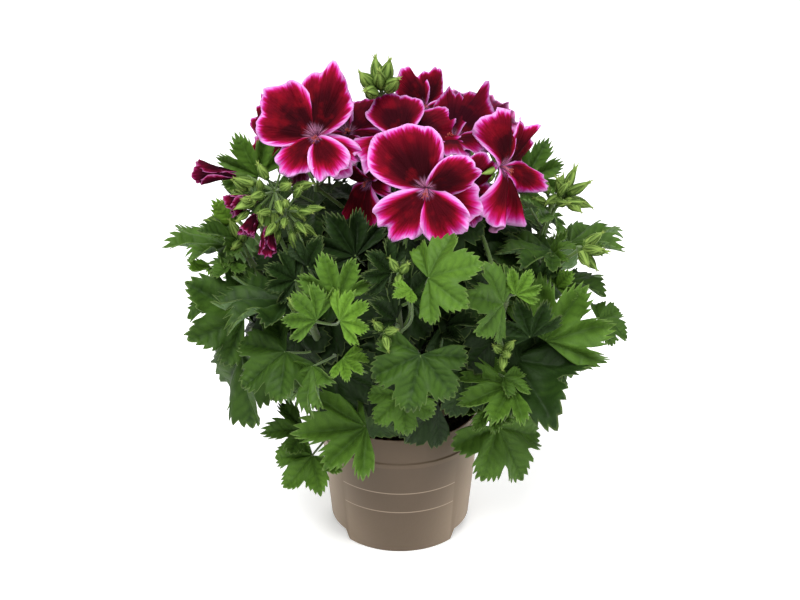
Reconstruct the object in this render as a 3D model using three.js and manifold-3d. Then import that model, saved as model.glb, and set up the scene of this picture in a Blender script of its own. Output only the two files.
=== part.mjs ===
// A regal pelargonium in a plastic nursery pot, 114 mm across the rim, about 350 mm tall with the plant.
// Millimetres, +Z up, the origin at the middle of the flat pad under the pot. -Y faces the viewer.
// Twelve green stems stand in holes in the soil and carry lobed, toothed leaves on petioles, umbels of
// buds, and blooms. A bloom's five petals are one corolla, seated just clear of its green calyx.
import * as THREE from 'three';
import { mergeVertices } from 'three/addons/utils/BufferGeometryUtils.js';
import Module from 'manifold-3d';

const wasm = await Module();
wasm.setup();

// Driving dimensions
const POT_HEIGHT = 94;
const POT_SIDES = 28;
const RIM_RADIUS = 57;
const BASE_RADIUS = 50;
const WALL = 1.3;
const COLLAR_HEIGHT = 19;
const COLLAR_STEP = 0.9;
const FLOOR_THICKNESS = 1.5;
const FOOT_HEIGHT = 7.5;
const FOOT_WIDTH = 6;
const DRAFT = 2.5;
const PAD_RADIUS = 13;
const ARCH_HALF_WIDTH = 32;
const DRAIN_RADIUS = 3.2;
const DRAIN_RING = 28;
const DRAIN_HOLES = 4;
const DRAIN_SIDES = 6;
const SOIL_SIDES = 20;
const SOIL_DEPTH_BELOW_RIM = 11;
const SOIL_LUMP = 1.1;
const STEM_DEPTH = 16;
const SEAT_GAP = 0.35;

const LEAF_THICKNESS = 0.9;
const PETAL_THICKNESS = 0.8;
const STEM_RADIUS = 3.4;
const STEM_TOP_RADIUS = 2.4;
const PETIOLE_RADIUS = 1.3;
const PETIOLE_END_RADIUS = 0.35;
const PEDUNCLE_RADIUS = 1.5;
const PEDICEL_RADIUS = 0.8;
const HUB_RADIUS = 3;
const BUD_SIDES = 3;
const CALYX = { length: 10, radius: 2.4 };
const OPENING_CALYX = { length: 11, radius: 3.2, mouth: 2.9 };
const OPENING_PETALS = { length: 20, radius: 3.9, foot: 2.4, tip: 3 };
const UPPER_PETAL = { length: 41, halfWidth: 19 };
const LOWER_PETAL = { length: 34, halfWidth: 12.2 };

const COLOUR = {
  pot: 0x8f7a66, soil: 0x2b211b, green: 0x4c8a35, petal: 0x9c1238, bud: 0x6b1030,
};
const ROUGHNESS = { pot: 0.55, soil: 0.95, green: 0.6, petal: 0.7, bud: 0.65 };

const v3 = (p) => new THREE.Vector3(...p);
const radians = THREE.MathUtils.degToRad;
const UP = new THREE.Vector3(0, 0, 1);
const GOLDEN_TURN = Math.PI * (3 - Math.sqrt(5));

// Solids

// A closed three.js geometry as a manifold solid.
function solid(geometry) {
  const bare = geometry.clone();
  bare.deleteAttribute('normal');
  bare.deleteAttribute('uv');
  const merged = mergeVertices(bare, 1e-4);
  return new wasm.Manifold(new wasm.Mesh({
    numProp: 3,
    vertProperties: new Float32Array(merged.attributes.position.array),
    triVerts: new Uint32Array(merged.index.array),
  }));
}

function unite(solids) {
  return wasm.Manifold.union(solids);
}

// The largest of a solid's separate bodies.
function largestBody(whole) {
  return whole.decompose().reduce((a, b) => (b.volume() > a.volume() ? b : a));
}

// A lathe profile of [radius, height] pairs turned about +Z.
function turned(profile, sides) {
  const points = profile.map(([r, z]) => new THREE.Vector2(r, z));
  return new THREE.LatheGeometry(points, sides).rotateX(Math.PI / 2);
}

// A round stalk along a curve through the points, tapering from one radius to the other.
function stalk(points, startRadius, endRadius, sides, steps) {
  const curve = new THREE.CatmullRomCurve3(points);
  const frames = curve.computeFrenetFrames(steps, false);
  const geometry = new THREE.CylinderGeometry(endRadius, startRadius, 1, sides, steps);
  const position = geometry.attributes.position;
  for (let i = 0; i < position.count; i += 1) {
    const step = Math.round((position.getY(i) + 0.5) * steps);
    const side = frames.normals[step].clone();
    const other = side.clone().cross(frames.tangents[step]);
    const place = curve.getPointAt(step / steps)
      .addScaledVector(side, position.getX(i))
      .addScaledVector(other, position.getZ(i));
    position.setXYZ(i, place.x, place.y, place.z);
  }
  return solid(geometry);
}

// A thin blade: a disc whose rim is moved to the outline and whose middle is moved to the centre.
// Outline and centre are [along, across, height] in the blade's own frame.
function blade(outline, centre, frame, thickness) {
  const sides = outline.length;
  const geometry = new THREE.CylinderGeometry(1, 1, thickness, sides, 1);
  const position = geometry.attributes.position;
  for (let i = 0; i < position.count; i += 1) {
    const x = position.getX(i);
    const z = position.getZ(i);
    const turn = Math.round((Math.atan2(x, z) / (2 * Math.PI)) * sides);
    const [a, b, h] = Math.hypot(x, z) < 0.5 ? centre : outline[(turn + sides) % sides];
    const place = frame.origin.clone()
      .addScaledVector(frame.along, a)
      .addScaledVector(frame.across, b)
      .addScaledVector(frame.face, h + position.getY(i));
    position.setXYZ(i, place.x, place.y, place.z);
  }
  return solid(geometry);
}

// A frame with its first axis along a direction and its third as near to a facing direction as it can be.
function frameAlong(origin, direction, facing) {
  const along = direction.clone().normalize();
  const across = facing.clone().cross(along).normalize();
  return { origin, along, across, face: along.clone().cross(across) };
}

function heading(azimuth, elevation) {
  const a = radians(azimuth);
  const e = radians(elevation);
  return new THREE.Vector3(Math.cos(a) * Math.cos(e), Math.sin(a) * Math.cos(e), Math.sin(e));
}

// Leaves

// Lobe centres as shares of the leaf's half angle, and each lobe's points as [share off its centre, reach].
const FIVE_LOBES = [-0.84, -0.43, 0, 0.43, 0.84];
const THREE_LOBES = [-0.7, 0, 0.7];
const LOBE_TEETH = [[-0.09, 0.95], [0.07, 1]];
const LEAF_KINDS = {
  broad: { halfAngle: 122, lobes: FIVE_LOBES, sinus: 0.76, shoulder: 0.64, cup: -0.13, pleat: -0.045 },
  fan: { halfAngle: 88, lobes: FIVE_LOBES, sinus: 0.74, shoulder: 0.55, cup: 0.04, pleat: -0.055 },
  small: { halfAngle: 80, lobes: THREE_LOBES, sinus: 0.68, shoulder: 0.48, cup: 0.1, pleat: -0.06 },
};
const BLADE_MIDDLE = 0.3;
const BLADE_SINUS = -0.06;

function leafOutline(kind, length) {
  const { halfAngle, lobes, sinus, shoulder, cup, pleat } = LEAF_KINDS[kind];
  const outline = [];
  const add = (share, reach, rise) => {
    const angle = radians(halfAngle * share);
    const r = length * reach * (1 - 0.26 * Math.abs(share) ** 1.5);
    outline.push([r * Math.cos(angle), r * Math.sin(angle), cup * r * r / length + rise * length]);
  };
  add(-1, shoulder, 0);
  lobes.forEach((lobe, i) => {
    LOBE_TEETH.forEach(([off, reach]) => add(lobe + off, reach, pleat / 2));
    if (i < lobes.length - 1) add((lobe + lobes[i + 1]) / 2, sinus, -pleat);
  });
  add(1, shoulder, 0);
  outline.push([BLADE_SINUS * length, 0, 0]);
  return outline;
}

function leafBlade({ kind, junction, tip, facing }, grow) {
  const direction = tip.clone().sub(junction);
  const length = direction.length() + 2 * grow;
  const frame = frameAlong(junction, direction, facing);
  const middle = [BLADE_MIDDLE * length, 0, LEAF_KINDS[kind].cup * BLADE_MIDDLE ** 2 * length];
  return blade(leafOutline(kind, length), middle, frame, LEAF_THICKNESS + 2 * grow);
}

const leaf = (kind, junction, tip, azimuth, elevation) => (
  { kind, junction: v3(junction), tip: v3(tip), facing: heading(azimuth, elevation) }
);

// Blooms

// Petals in order round the throat: the angle of each, its shape, how far it stands up from the
// bloom's plane, and how far it rolls about its own length.
const PETALS = [
  { angle: 134, shape: UPPER_PETAL, lift: 12, roll: 8 },
  { angle: 226, shape: LOWER_PETAL, lift: 8, roll: -8 },
  { angle: 282, shape: LOWER_PETAL, lift: 14, roll: 6 },
  { angle: 338, shape: LOWER_PETAL, lift: 6, roll: 8 },
  { angle: 406, shape: UPPER_PETAL, lift: 16, roll: -10 },
];
// A petal's rim from its right side round to its left, as [share of length, share of half width, rise].
// Seen from the throat, each point lies further round than the one before it, so the sheet never folds over.
const PETAL_RIM = [
  [0.5, -0.68, 1.4], [0.74, -1, -1.6], [0.95, -0.6, 1.8], [1, 0.05, -0.6],
  [0.93, 0.62, 1.8], [0.74, 1, -1.6], [0.5, 0.68, 1.4],
];
const PETAL_CUP = 3;
const THROAT_RADIUS = 2.6;
const THROAT_DEPTH = 3;

const bloom = (centre, azimuth, elevation, spin, size = 1) => (
  { centre: v3(centre), facing: heading(azimuth, elevation), spin, size }
);

// The bloom's own frame: along is the way its upper petals point, face is the way it looks.
function bloomFrame({ centre, facing, spin }) {
  const face = facing.clone().normalize();
  const up = UP.clone().addScaledVector(face, -UP.dot(face)).normalize();
  const along = up.applyAxisAngle(face, radians(spin));
  return { origin: centre, along, across: face.clone().cross(along), face };
}

// A point at a reach out from the throat and off to one side, at an angle round the throat (90 is upwards).
function roundThroat(angle, reach, side, height) {
  const turn = radians(angle - 90);
  return [
    reach * Math.cos(turn) - side * Math.sin(turn),
    reach * Math.sin(turn) + side * Math.cos(turn),
    height,
  ];
}

// The five petals are one thin sheet, cut in to the throat between one petal and the next.
function corolla(flower, grow) {
  const outline = PETALS.flatMap(({ angle, shape, lift, roll }, i) => {
    const rim = PETAL_RIM.map(([share, across, rise]) => {
      const length = share * (shape.length * flower.size + grow);
      const side = across * (shape.halfWidth * flower.size + grow);
      const height = length * Math.sin(radians(lift)) - side * Math.sin(radians(roll));
      const reach = length * Math.cos(radians(lift));
      return roundThroat(angle, reach, side, height + rise - PETAL_CUP * share * share);
    });
    const next = i + 1 < PETALS.length ? PETALS[i + 1].angle : PETALS[0].angle + 360;
    return [...rim, roundThroat((angle + next) / 2, THROAT_RADIUS + grow, 0, 0)];
  });
  return blade(outline, [0, 0, -THROAT_DEPTH], bloomFrame(flower), PETAL_THICKNESS + 2 * grow);
}

// A solid modelled about +Z, moved into a frame whose face axis takes the place of +Z.
function inFrame(shape, frame) {
  const m = new THREE.Matrix4().makeBasis(frame.along, frame.across, frame.face).setPosition(frame.origin);
  return shape.transform(m.elements);
}

function calyx(frame, grow) {
  const seat = -THROAT_DEPTH - PETAL_THICKNESS / 2 - SEAT_GAP;
  const top = seat - 0.1 + grow;
  const cup = [[0, -CALYX.length - grow], [CALYX.radius + grow, top - 1.5], [0, top]];
  return inFrame(solid(turned(cup, 4)), frame);
}

// Buds

// A closed bud, a pointed green spindle, on its stalk if it has one yet. Local +Z runs to its tip.
function stalkedBud({ pedicel, length, width }, grow) {
  const thin = PEDICEL_RADIUS + grow;
  const profile = [
    ...(pedicel ? [[0, 0], [thin, 0], [thin, pedicel]] : [[0, 0]]),
    [0.5 * width + grow, pedicel + 0.4 * length], [0, pedicel + length + 2 * grow],
  ];
  return solid(turned(profile, BUD_SIDES));
}

// Directions spread evenly over a cap about an axis.
function capDirections(axis, halfAngle, count) {
  const frame = frameAlong(new THREE.Vector3(), perpendicular(axis), axis);
  const least = Math.cos(radians(halfAngle));
  return Array.from({ length: count }, (_, k) => {
    const z = 1 - (1 - least) * (k + 0.5) / count;
    const ring = Math.sqrt(1 - z * z);
    const turn = k * GOLDEN_TURN;
    return frame.face.clone().multiplyScalar(z)
      .addScaledVector(frame.along, ring * Math.cos(turn))
      .addScaledVector(frame.across, ring * Math.sin(turn));
  });
}

function perpendicular(axis) {
  const helper = Math.abs(axis.z) < 0.9 ? UP : new THREE.Vector3(1, 0, 0);
  return helper.clone().cross(axis).normalize();
}

// An umbel of buds: its middle, the way it looks, how wide it spreads, how many buds, and their size.
const buds = (azimuth, elevation, halfAngle, count, pedicel, length, width) => (
  { axis: heading(azimuth, elevation), halfAngle, count, pedicel, length, width }
);

// Half-open buds: where the calyx ends, and the way it points.
const opening = (centre, azimuth, elevation) => (
  { centre: v3(centre), facing: heading(azimuth, elevation) }
);

// The petals of a half-open bud, rolled round each other, which stand out of its calyx.
function rolledPetals({ centre, facing }, grow) {
  const { length, radius, foot, tip } = OPENING_PETALS;
  const profile = [
    [0, SEAT_GAP - grow], [foot + grow, SEAT_GAP - grow], [radius + grow, 0.45 * length],
    [tip + grow, 0.9 * length], [0, length + grow],
  ];
  return inFrame(solid(turned(profile, 5)), frameAlong(centre, perpendicular(facing), facing));
}

// Stems

// The near side. Each stem: its path from the soil, its leaves from the lowest up, and its umbels of buds.
const NEAR_STEMS = [
  {
    name: 'stem_left',
    path: [[-25, -9, 0], [-50, -16, 128], [-84, -22, 186], [-103, -20, 216]],
    leaves: [
      leaf('broad', [-109, -30, 149], [-109, -56, 103], -150, 20),
      leaf('broad', [-104, -44, 182], [-133, -58, 212], -132, 46),
      leaf('small', [-126, -24, 209], [-141, -38, 215], -130, 50),
      leaf('fan', [-118, -10, 220], [-157, -24, 231], -112, 86),
      leaf('small', [-110, -36, 219], [-122, -54, 216], -120, 60),
      leaf('small', [-111, -12, 236], [-125, -18, 256], -115, 50),
      leaf('small', [-108, -22, 230], [-131, -36, 244], -115, 62),
    ],
    umbels: [
      { from: 0.98, centre: [-106, -24, 228], cluster: buds(-110, 60, 60, 3, 0, 14, 6) },
    ],
  },
  {
    name: 'stem_left_front',
    path: [[-14, -17, 0], [-32, -46, 120], [-52, -66, 172], [-60, -84, 206]],
    leaves: [
      leaf('small', [-66, -52, 101], [-94, -62, 106], -120, 45),
      leaf('broad', [-60, -60, 85], [-79, -78, 72], -112, 38),
      leaf('fan', [-22, -88, 123], [-68, -104, 129], -102, 52),
      leaf('broad', [-26, -70, 133], [-54, -66, 149], -97, 25),
      leaf('fan', [-55, -112, 180], [-61, -124, 151], -150, 22),
      leaf('broad', [-73, -92, 180], [-104, -104, 164], -110, 52),
      leaf('fan', [-72, -78, 210], [-123, -78, 212], -105, 87),
      leaf('fan', [-51, -116, 213], [-65, -124, 234], -105, 45),
      leaf('fan', [-37, -120, 214], [-19, -127, 230], -75, 45),
      leaf('fan', [-39, -104, 221], [-47, -108, 252], -95, 35),
    ],
    umbels: [
      { from: 0.97, centre: [-62, -106, 213], cluster: buds(-90, 50, 70, 3, 0, 12, 5) },
      {
        from: 0.8, centre: [-79, -60, 277], cluster: buds(-95, -12, 105, 13, 11, 16, 5.4),
        opening: [
          opening([-107, -48, 284], 178, 4), opening([-93, -62, 272], 190, -12),
          opening([-92, -70, 262], -140, -55), opening([-83, -77, 257], -95, -75),
        ],
      },
    ],
  },
  {
    name: 'stem_front',
    path: [[2, -21, 0], [8, -54, 112], [2, -84, 170], [-2, -92, 214]],
    leaves: [
      leaf('broad', [1, -98, 152], [5, -112, 129], -92, 48),
      leaf('fan', [-36, -112, 185], [-22, -122, 179], -78, 50),
      leaf('broad', [13, -119, 191], [4, -136, 160], -88, 48),
      leaf('small', [7, -126, 238], [-5, -134, 236], -95, 60),
      leaf('fan', [17, -120, 241], [44, -130, 259], -88, 46),
    ],
    umbels: [
      { from: 0.9, centre: [-10, -112, 203], cluster: buds(-80, 30, 75, 3, 0, 12, 5) },
      { from: 0.98, centre: [0, -108, 240], cluster: buds(-100, 60, 70, 3, 0, 12, 5) },
    ],
  },
  {
    name: 'stem_right_front',
    path: [[16, -14, 0], [44, -42, 118], [60, -60, 170], [68, -74, 208]],
    leaves: [
      leaf('broad', [67, -50, 102], [90, -64, 69], -50, 28),
      leaf('fan', [62, -66, 130], [49, -80, 116], -84, 35),
      leaf('fan', [73, -86, 153], [38, -104, 150], -88, 60),
      leaf('small', [67, -86, 159], [85, -92, 151], -75, 78),
      leaf('fan', [85, -72, 180], [75, -76, 209], -95, 30),
      leaf('broad', [64, -105, 219], [46, -126, 233], -40, 12),
      leaf('fan', [72, -98, 222], [81, -102, 239], -72, 35),
    ],
    umbels: [
      { from: 0.82, centre: [66, -94, 180], cluster: buds(-100, 20, 60, 4, 0, 13, 5) },
    ],
  },
  {
    name: 'stem_right',
    path: [[25, -4, 0], [56, -22, 130], [86, -26, 190], [97, -20, 238]],
    leaves: [
      leaf('broad', [108, -6, 148], [122, -4, 112], 2, 12),
      leaf('broad', [75, -56, 156], [130, -70, 161], -76, 62),
      leaf('broad', [116, 16, 182], [143, 32, 186], 35, 40),
      leaf('broad', [137, -16, 167], [160, -20, 162], -62, 62),
      leaf('fan', [96, -60, 172], [123, -64, 216], -76, 40),
      leaf('fan', [90, -54, 211], [82, -60, 234], -92, 22),
      leaf('small', [103, -50, 206], [112, -58, 222], -78, 45),
      leaf('fan', [99, -46, 231], [63, -54, 237], -92, 86),
      leaf('fan', [99, -26, 219], [115, -34, 233], -62, 60),
      leaf('fan', [98, -34, 253], [77, -50, 270], -70, 70),
      leaf('fan', [84, 0, 264], [100, 8, 290], -82, 30),
    ],
    umbels: [
      { from: 0.98, centre: [108, -22, 260], cluster: buds(-60, 40, 95, 6, 0, 19, 6) },
      { from: 0.7, centre: [118, -42, 230], cluster: buds(-20, -5, 62, 5, 0, 19, 6) },
    ],
  },
  {
    name: 'stem_crown',
    path: [[-4, -3, 0], [-8, -22, 120], [-12, -36, 190], [-10, -36, 238]],
    leaves: [
      leaf('fan', [28, -78, 190], [45, -94, 206], -90, 60),
      leaf('broad', [-52, -30, 202], [-97, -16, 229], -110, 60),
      leaf('fan', [-28, -76, 239], [-46, -74, 268], -100, 42),
      leaf('fan', [-91, -38, 279], [-105, -40, 308], -100, 32),
    ],
    umbels: [
      { from: 0.98, centre: [-12, -22, 328], cluster: buds(-100, 70, 50, 6, 5, 18, 6.4) },
    ],
  },
];

// Blooms of the near side by the umbel that carries them
const NEAR_BLOOMS = [
  {
    stem: 'stem_crown', from: 0.92, centre: [-54, -34, 270],
    blooms: [
      ['bloom_left', bloom([-52, -62, 314], -98, 22, 12)],
      ['bloom_left_low', bloom([-84, -10, 296], -150, 30, 10, 0.8)],
      ['bloom_left_rear', bloom([-34, -12, 301], -95, 50, 0, 0.85)],
    ],
  },
  {
    stem: 'stem_front', from: 0.95, centre: [4, -66, 250],
    blooms: [
      ['bloom_middle', bloom([16, -93, 290], -92, 6, -14)],
      ['bloom_middle_rear', bloom([1, -50, 307], -96, 58, 0)],
      ['bloom_middle_low', bloom([-20, -52, 281], -138, 5, 20, 0.7)],
    ],
  },
  {
    stem: 'stem_right_front', from: 0.95, centre: [50, -44, 250],
    blooms: [
      ['bloom_right', bloom([65, -60, 293], -38, 6, 4)],
      ['bloom_right_rear', bloom([33, -38, 304], -115, 64, 10)],
      ['bloom_right_low', bloom([38, -62, 278], -80, 0, 8, 0.7)],
    ],
  },
  {
    stem: 'stem_crown', from: 0.99, centre: [6, -12, 278],
    blooms: [
      ['bloom_top', bloom([16, 8, 312], -80, 40, 0, 0.82)],
    ],
  },
];

// The far side repeats the near side, turned half a turn about the pot's axis, a little lower towards
// the top, and without the smallest leaves and youngest buds. Its crown carries only blooms.
const FAR_SHOULDER = 200;
const FAR_SLOPE = 0.7;
const LEAST_FAR_LEAF = 31;
const YOUNG_BUDS = 4;
const FAR_BUD_SHARE = 0.6;
const FAR_BLOOM_SIZE = 0.82;
const lowered = (z) => (z > FAR_SHOULDER ? FAR_SHOULDER + FAR_SLOPE * (z - FAR_SHOULDER) : z);
const farArray = ([x, y, z]) => [-x, -y, lowered(z)];
const farPoint = (p) => v3(farArray(p.toArray()));
const farDirection = ({ x, y, z }) => new THREE.Vector3(-x, -y, z);
const leafLength = ({ junction, tip }) => tip.distanceTo(junction);
const FAR_STEMS = NEAR_STEMS.map(({ name, path, leaves, umbels }) => ({
  name: `${name}_far`,
  path: path.map(farArray),
  leaves: leaves.filter((near) => name !== 'stem_crown' && leafLength(near) > LEAST_FAR_LEAF)
    .map(({ kind, junction, tip, facing }) => (
      { kind, junction: farPoint(junction), tip: farPoint(tip), facing: farDirection(facing) }
    )),
  umbels: umbels.filter(({ cluster }) => name !== 'stem_crown' && cluster.count > YOUNG_BUDS)
    .map(({ from, centre, cluster }) => ({
      from,
      centre: farArray(centre),
      cluster: {
        ...cluster, axis: farDirection(cluster.axis), count: Math.ceil(FAR_BUD_SHARE * cluster.count),
      },
    })),
}));
const FAR_BLOOM_NAMES = ['bloom_left', 'bloom_middle', 'bloom_right', 'bloom_right_rear'];
const FAR_BLOOMS = NEAR_BLOOMS.map(({ stem, from, centre, blooms }) => ({
  stem: `${stem}_far`,
  from,
  centre: farArray(centre),
  blooms: blooms.filter(([name]) => FAR_BLOOM_NAMES.includes(name)).map(([name, near]) => (
    [`${name}_far`, {
      ...near, centre: farPoint(near.centre), facing: farDirection(near.facing), size: FAR_BLOOM_SIZE,
    }]
  )),
})).filter(({ blooms }) => blooms.length);

const STEMS = [...NEAR_STEMS, ...FAR_STEMS];
const BLOOM_UMBELS = [...NEAR_BLOOMS, ...FAR_BLOOMS];

const SOIL_TOP = POT_HEIGHT - SOIL_DEPTH_BELOW_RIM;
const STEM_FOOT = SOIL_TOP - STEM_DEPTH;
// Shares of a stem's length between which its leaves stand
const LOWEST_LEAF = 0.42;
const HIGHEST_LEAF = 0.98;
// How a petiole bends: how far it runs into the blade, where its bend is, and how far that hangs below
// the blade and behind it, as shares of its span
const PETIOLE_BEND = { into: 0.12, at: 0.58, below: 0.22, behind: 0.1 };
const PEDUNCLE_BOW = 0.08;
// How far behind a bloom its stalk bends, and how far up the calyx it ends
const BLOOM_STALK = { bend: 18, end: 7, extra: 0.15 };

function stemCurve({ path }) {
  const [[footX, footY], ...rest] = path;
  return new THREE.CatmullRomCurve3([
    v3([footX, footY, STEM_FOOT]), v3([footX, footY, SOIL_TOP + 4]), ...rest.map(v3),
  ]);
}

// A petiole bends to come in from beneath the blade and ends inside it, a little past its base.
function petiole(curve, share, { junction, tip, facing }, grow) {
  const start = curve.getPointAt(share);
  const end = junction.clone().lerp(tip, PETIOLE_BEND.into);
  const span = end.distanceTo(start);
  const { along, face } = frameAlong(junction, tip.clone().sub(junction), facing);
  const middle = start.clone().lerp(end, PETIOLE_BEND.at)
    .addScaledVector(face, -PETIOLE_BEND.below * span)
    .addScaledVector(along, -PETIOLE_BEND.behind * span);
  return stalk([start, middle, end], PETIOLE_RADIUS + grow, PETIOLE_END_RADIUS + grow, 3, 2);
}

// An umbel's stalk, which leaves the stem and bows up a little, and the knob at its end.
function peduncle(start, end, grow) {
  const bow = PEDUNCLE_BOW * start.distanceTo(end);
  const middle = start.clone().lerp(end, 0.5).addScaledVector(UP, bow);
  return [
    stalk([start, middle, end], PEDUNCLE_RADIUS + grow, PEDUNCLE_RADIUS + grow, 4, 3),
    solid(new THREE.OctahedronGeometry(HUB_RADIUS + grow)).translate(end.toArray()),
  ];
}

function budCluster(cluster, hub, grow) {
  return capDirections(cluster.axis, cluster.halfAngle, cluster.count).map((direction) => {
    const root = hub.clone().addScaledVector(direction, HUB_RADIUS / 3);
    return inFrame(stalkedBud(cluster, grow), frameAlong(root, perpendicular(direction), direction));
  });
}

// The stalk and calyx of a half-open bud
function openingCalyx({ centre, facing }, hub, grow) {
  const { length, radius, mouth } = OPENING_CALYX;
  const foot = centre.clone().addScaledVector(facing, -length);
  const thin = PEDICEL_RADIUS + grow;
  const cup = [
    [0, -grow], [radius + grow, 0.55 * length], [mouth + grow, length + grow], [0, length + grow],
  ];
  return [
    stalk([hub, foot.clone().addScaledVector(facing, 1.5)], thin, thin, 3, 1),
    inFrame(solid(turned(cup, 4)), frameAlong(foot, perpendicular(facing), facing)),
  ];
}

// A bloom's stalk swings round behind it and runs into its calyx.
function bloomStalk(flower, hub, grow) {
  const frame = bloomFrame(flower);
  const thin = PEDICEL_RADIUS + BLOOM_STALK.extra + grow;
  const behind = (distance) => flower.centre.clone().addScaledVector(frame.face, -distance);
  const path = [hub, behind(BLOOM_STALK.bend), behind(BLOOM_STALK.end)];
  return [stalk(path, thin, thin, 3, 3), calyx(frame, grow)];
}

// Everything of one stem but its leaf blades: stalks, buds and calyxes.
function skeleton(stem, grow) {
  const curve = stemCurve(stem);
  const parts = [stalk(curve.points, STEM_RADIUS + grow, STEM_TOP_RADIUS + grow, 5, 6)];
  stem.leaves.forEach((each, i) => {
    const share = LOWEST_LEAF + (HIGHEST_LEAF - LOWEST_LEAF) * (i + 1) / stem.leaves.length;
    parts.push(petiole(curve, share, each, grow));
  });
  const bloomUmbels = BLOOM_UMBELS.filter((umbel) => umbel.stem === stem.name);
  [...stem.umbels, ...bloomUmbels].forEach(({ from, centre, cluster, opening: half = [], blooms = [] }) => {
    const hub = v3(centre);
    parts.push(...peduncle(curve.getPointAt(from), hub, grow));
    if (cluster) parts.push(...budCluster(cluster, hub, grow));
    half.forEach((each) => parts.push(...openingCalyx(each, hub, grow)));
    blooms.forEach(([, flower]) => parts.push(...bloomStalk(flower, hub, grow)));
  });
  return unite(parts);
}

// The pot and its soil

const COLLAR_FOOT = POT_HEIGHT - COLLAR_HEIGHT;
const COLLAR_RADIUS = RIM_RADIUS - COLLAR_STEP;
const FLOOR_TOP = FOOT_HEIGHT + FLOOR_THICKNESS;
const wallRadius = (z) => BASE_RADIUS + (RIM_RADIUS - BASE_RADIUS) * (z / COLLAR_FOOT);

// The pot's wall, its foot ring, and the pad under its floor
function potBody() {
  const footInner = BASE_RADIUS - FOOT_WIDTH;
  return solid(turned([
    [0, 0], [PAD_RADIUS, 0], [PAD_RADIUS + DRAFT, FOOT_HEIGHT],
    [footInner - DRAFT, FOOT_HEIGHT], [footInner, 0], [BASE_RADIUS, 0],
    [RIM_RADIUS, COLLAR_FOOT], [COLLAR_RADIUS, COLLAR_FOOT + COLLAR_STEP], [COLLAR_RADIUS, POT_HEIGHT],
    [COLLAR_RADIUS - WALL, POT_HEIGHT], [COLLAR_RADIUS - WALL, COLLAR_FOOT],
    [wallRadius(FLOOR_TOP) - WALL, FLOOR_TOP], [0, FLOOR_TOP],
  ], POT_SIDES));
}

// A wide, slope-sided arch through the foot ring on one side of the pot
function footArch(turn) {
  const foot = ARCH_HALF_WIDTH + DRAFT;
  const outline = new THREE.Shape([
    new THREE.Vector2(-foot, -1), new THREE.Vector2(foot, -1),
    new THREE.Vector2(ARCH_HALF_WIDTH, FOOT_HEIGHT), new THREE.Vector2(-ARCH_HALF_WIDTH, FOOT_HEIGHT),
  ]);
  const start = PAD_RADIUS + 2 * DRAFT;
  const reach = { depth: RIM_RADIUS - start, bevelEnabled: false };
  return solid(new THREE.ExtrudeGeometry(outline, reach).rotateX(Math.PI / 2).rotateZ(Math.PI / 2)
    .translate(start, 0, 0).rotateZ(turn));
}

function drainHole(turn) {
  return solid(new THREE.CylinderGeometry(DRAIN_RADIUS, DRAIN_RADIUS, FOOT_HEIGHT, DRAIN_SIDES)
    .rotateX(Math.PI / 2).translate(DRAIN_RING, 0, FOOT_HEIGHT).rotateZ(turn));
}

function makePot() {
  const cuts = [footArch(0), footArch(Math.PI)];
  for (let i = 0; i < DRAIN_HOLES; i += 1) cuts.push(drainHole((i + 0.5) * 2 * Math.PI / DRAIN_HOLES));
  return potBody().subtract(unite(cuts));
}

// The soil fills the pot, a little lumpy on top, with a plain hole for each stem.
function makeSoil(stems) {
  const edge = COLLAR_RADIUS - WALL - SEAT_GAP;
  const geometry = turned([
    [0, FLOOR_TOP + SEAT_GAP], [wallRadius(FOOT_HEIGHT) - WALL - SEAT_GAP, FLOOR_TOP + SEAT_GAP],
    [edge, SOIL_TOP - 2], [edge - 12, SOIL_TOP], [0, SOIL_TOP + 1],
  ], SOIL_SIDES);
  const position = geometry.attributes.position;
  for (let i = 0; i < position.count; i += 1) {
    const [x, y, z] = [position.getX(i), position.getY(i), position.getZ(i)];
    if (z > SOIL_TOP - 3) position.setZ(i, z + SOIL_LUMP * Math.sin(0.31 * x + 0.9) * Math.cos(0.27 * y));
  }
  return solid(geometry).subtract(unite(stems));
}

// Putting the plant together

function asMesh(name, shape, finish) {
  const { vertProperties, triVerts } = shape.getMesh();
  const geometry = new THREE.BufferGeometry();
  geometry.setAttribute('position', new THREE.BufferAttribute(vertProperties, 3));
  geometry.setIndex(new THREE.BufferAttribute(triVerts, 1));
  geometry.computeVertexNormals();
  const material = new THREE.MeshStandardMaterial({
    color: COLOUR[finish], roughness: ROUGHNESS[finish], metalness: 0,
  });
  const mesh = new THREE.Mesh(geometry, material);
  mesh.name = name;
  return mesh;
}

const plant = new THREE.Group();
plant.name = 'potted_pelargonium';

const skeletons = STEMS.map((stem) => skeleton(stem, 0));
const clearSkeletons = STEMS.map((stem) => skeleton(stem, SEAT_GAP));

// Corollas, nearest first: each is cut clear of the stalks and of the blooms before it.
const openBlooms = BLOOM_UMBELS.flatMap(({ blooms }) => blooms);
const openingBuds = STEMS.flatMap(({ name, umbels }) => umbels.flatMap(({ opening: half = [] }) => (
  half.map((each, i) => [`${name.replace('stem', 'opening_bud')}_${i + 1}`, each])
)));
const allStalks = unite(clearSkeletons);
const petalSolids = [];
const petalClear = [];
const addPetals = (name, finish, shape, grown) => {
  const cleared = petalClear.reduce((rest, other) => rest.subtract(other), shape.subtract(allStalks));
  petalSolids.push([name, finish, largestBody(cleared)]);
  petalClear.push(grown);
};
openingBuds.forEach(([name, bud]) => (
  addPetals(name, 'bud', rolledPetals(bud, 0), rolledPetals(bud, SEAT_GAP))
));
openBlooms.forEach(([name, flower]) => (
  addPetals(name, 'petal', corolla(flower, 0), corolla(flower, SEAT_GAP))
));
const allPetals = unite(petalClear);

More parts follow.
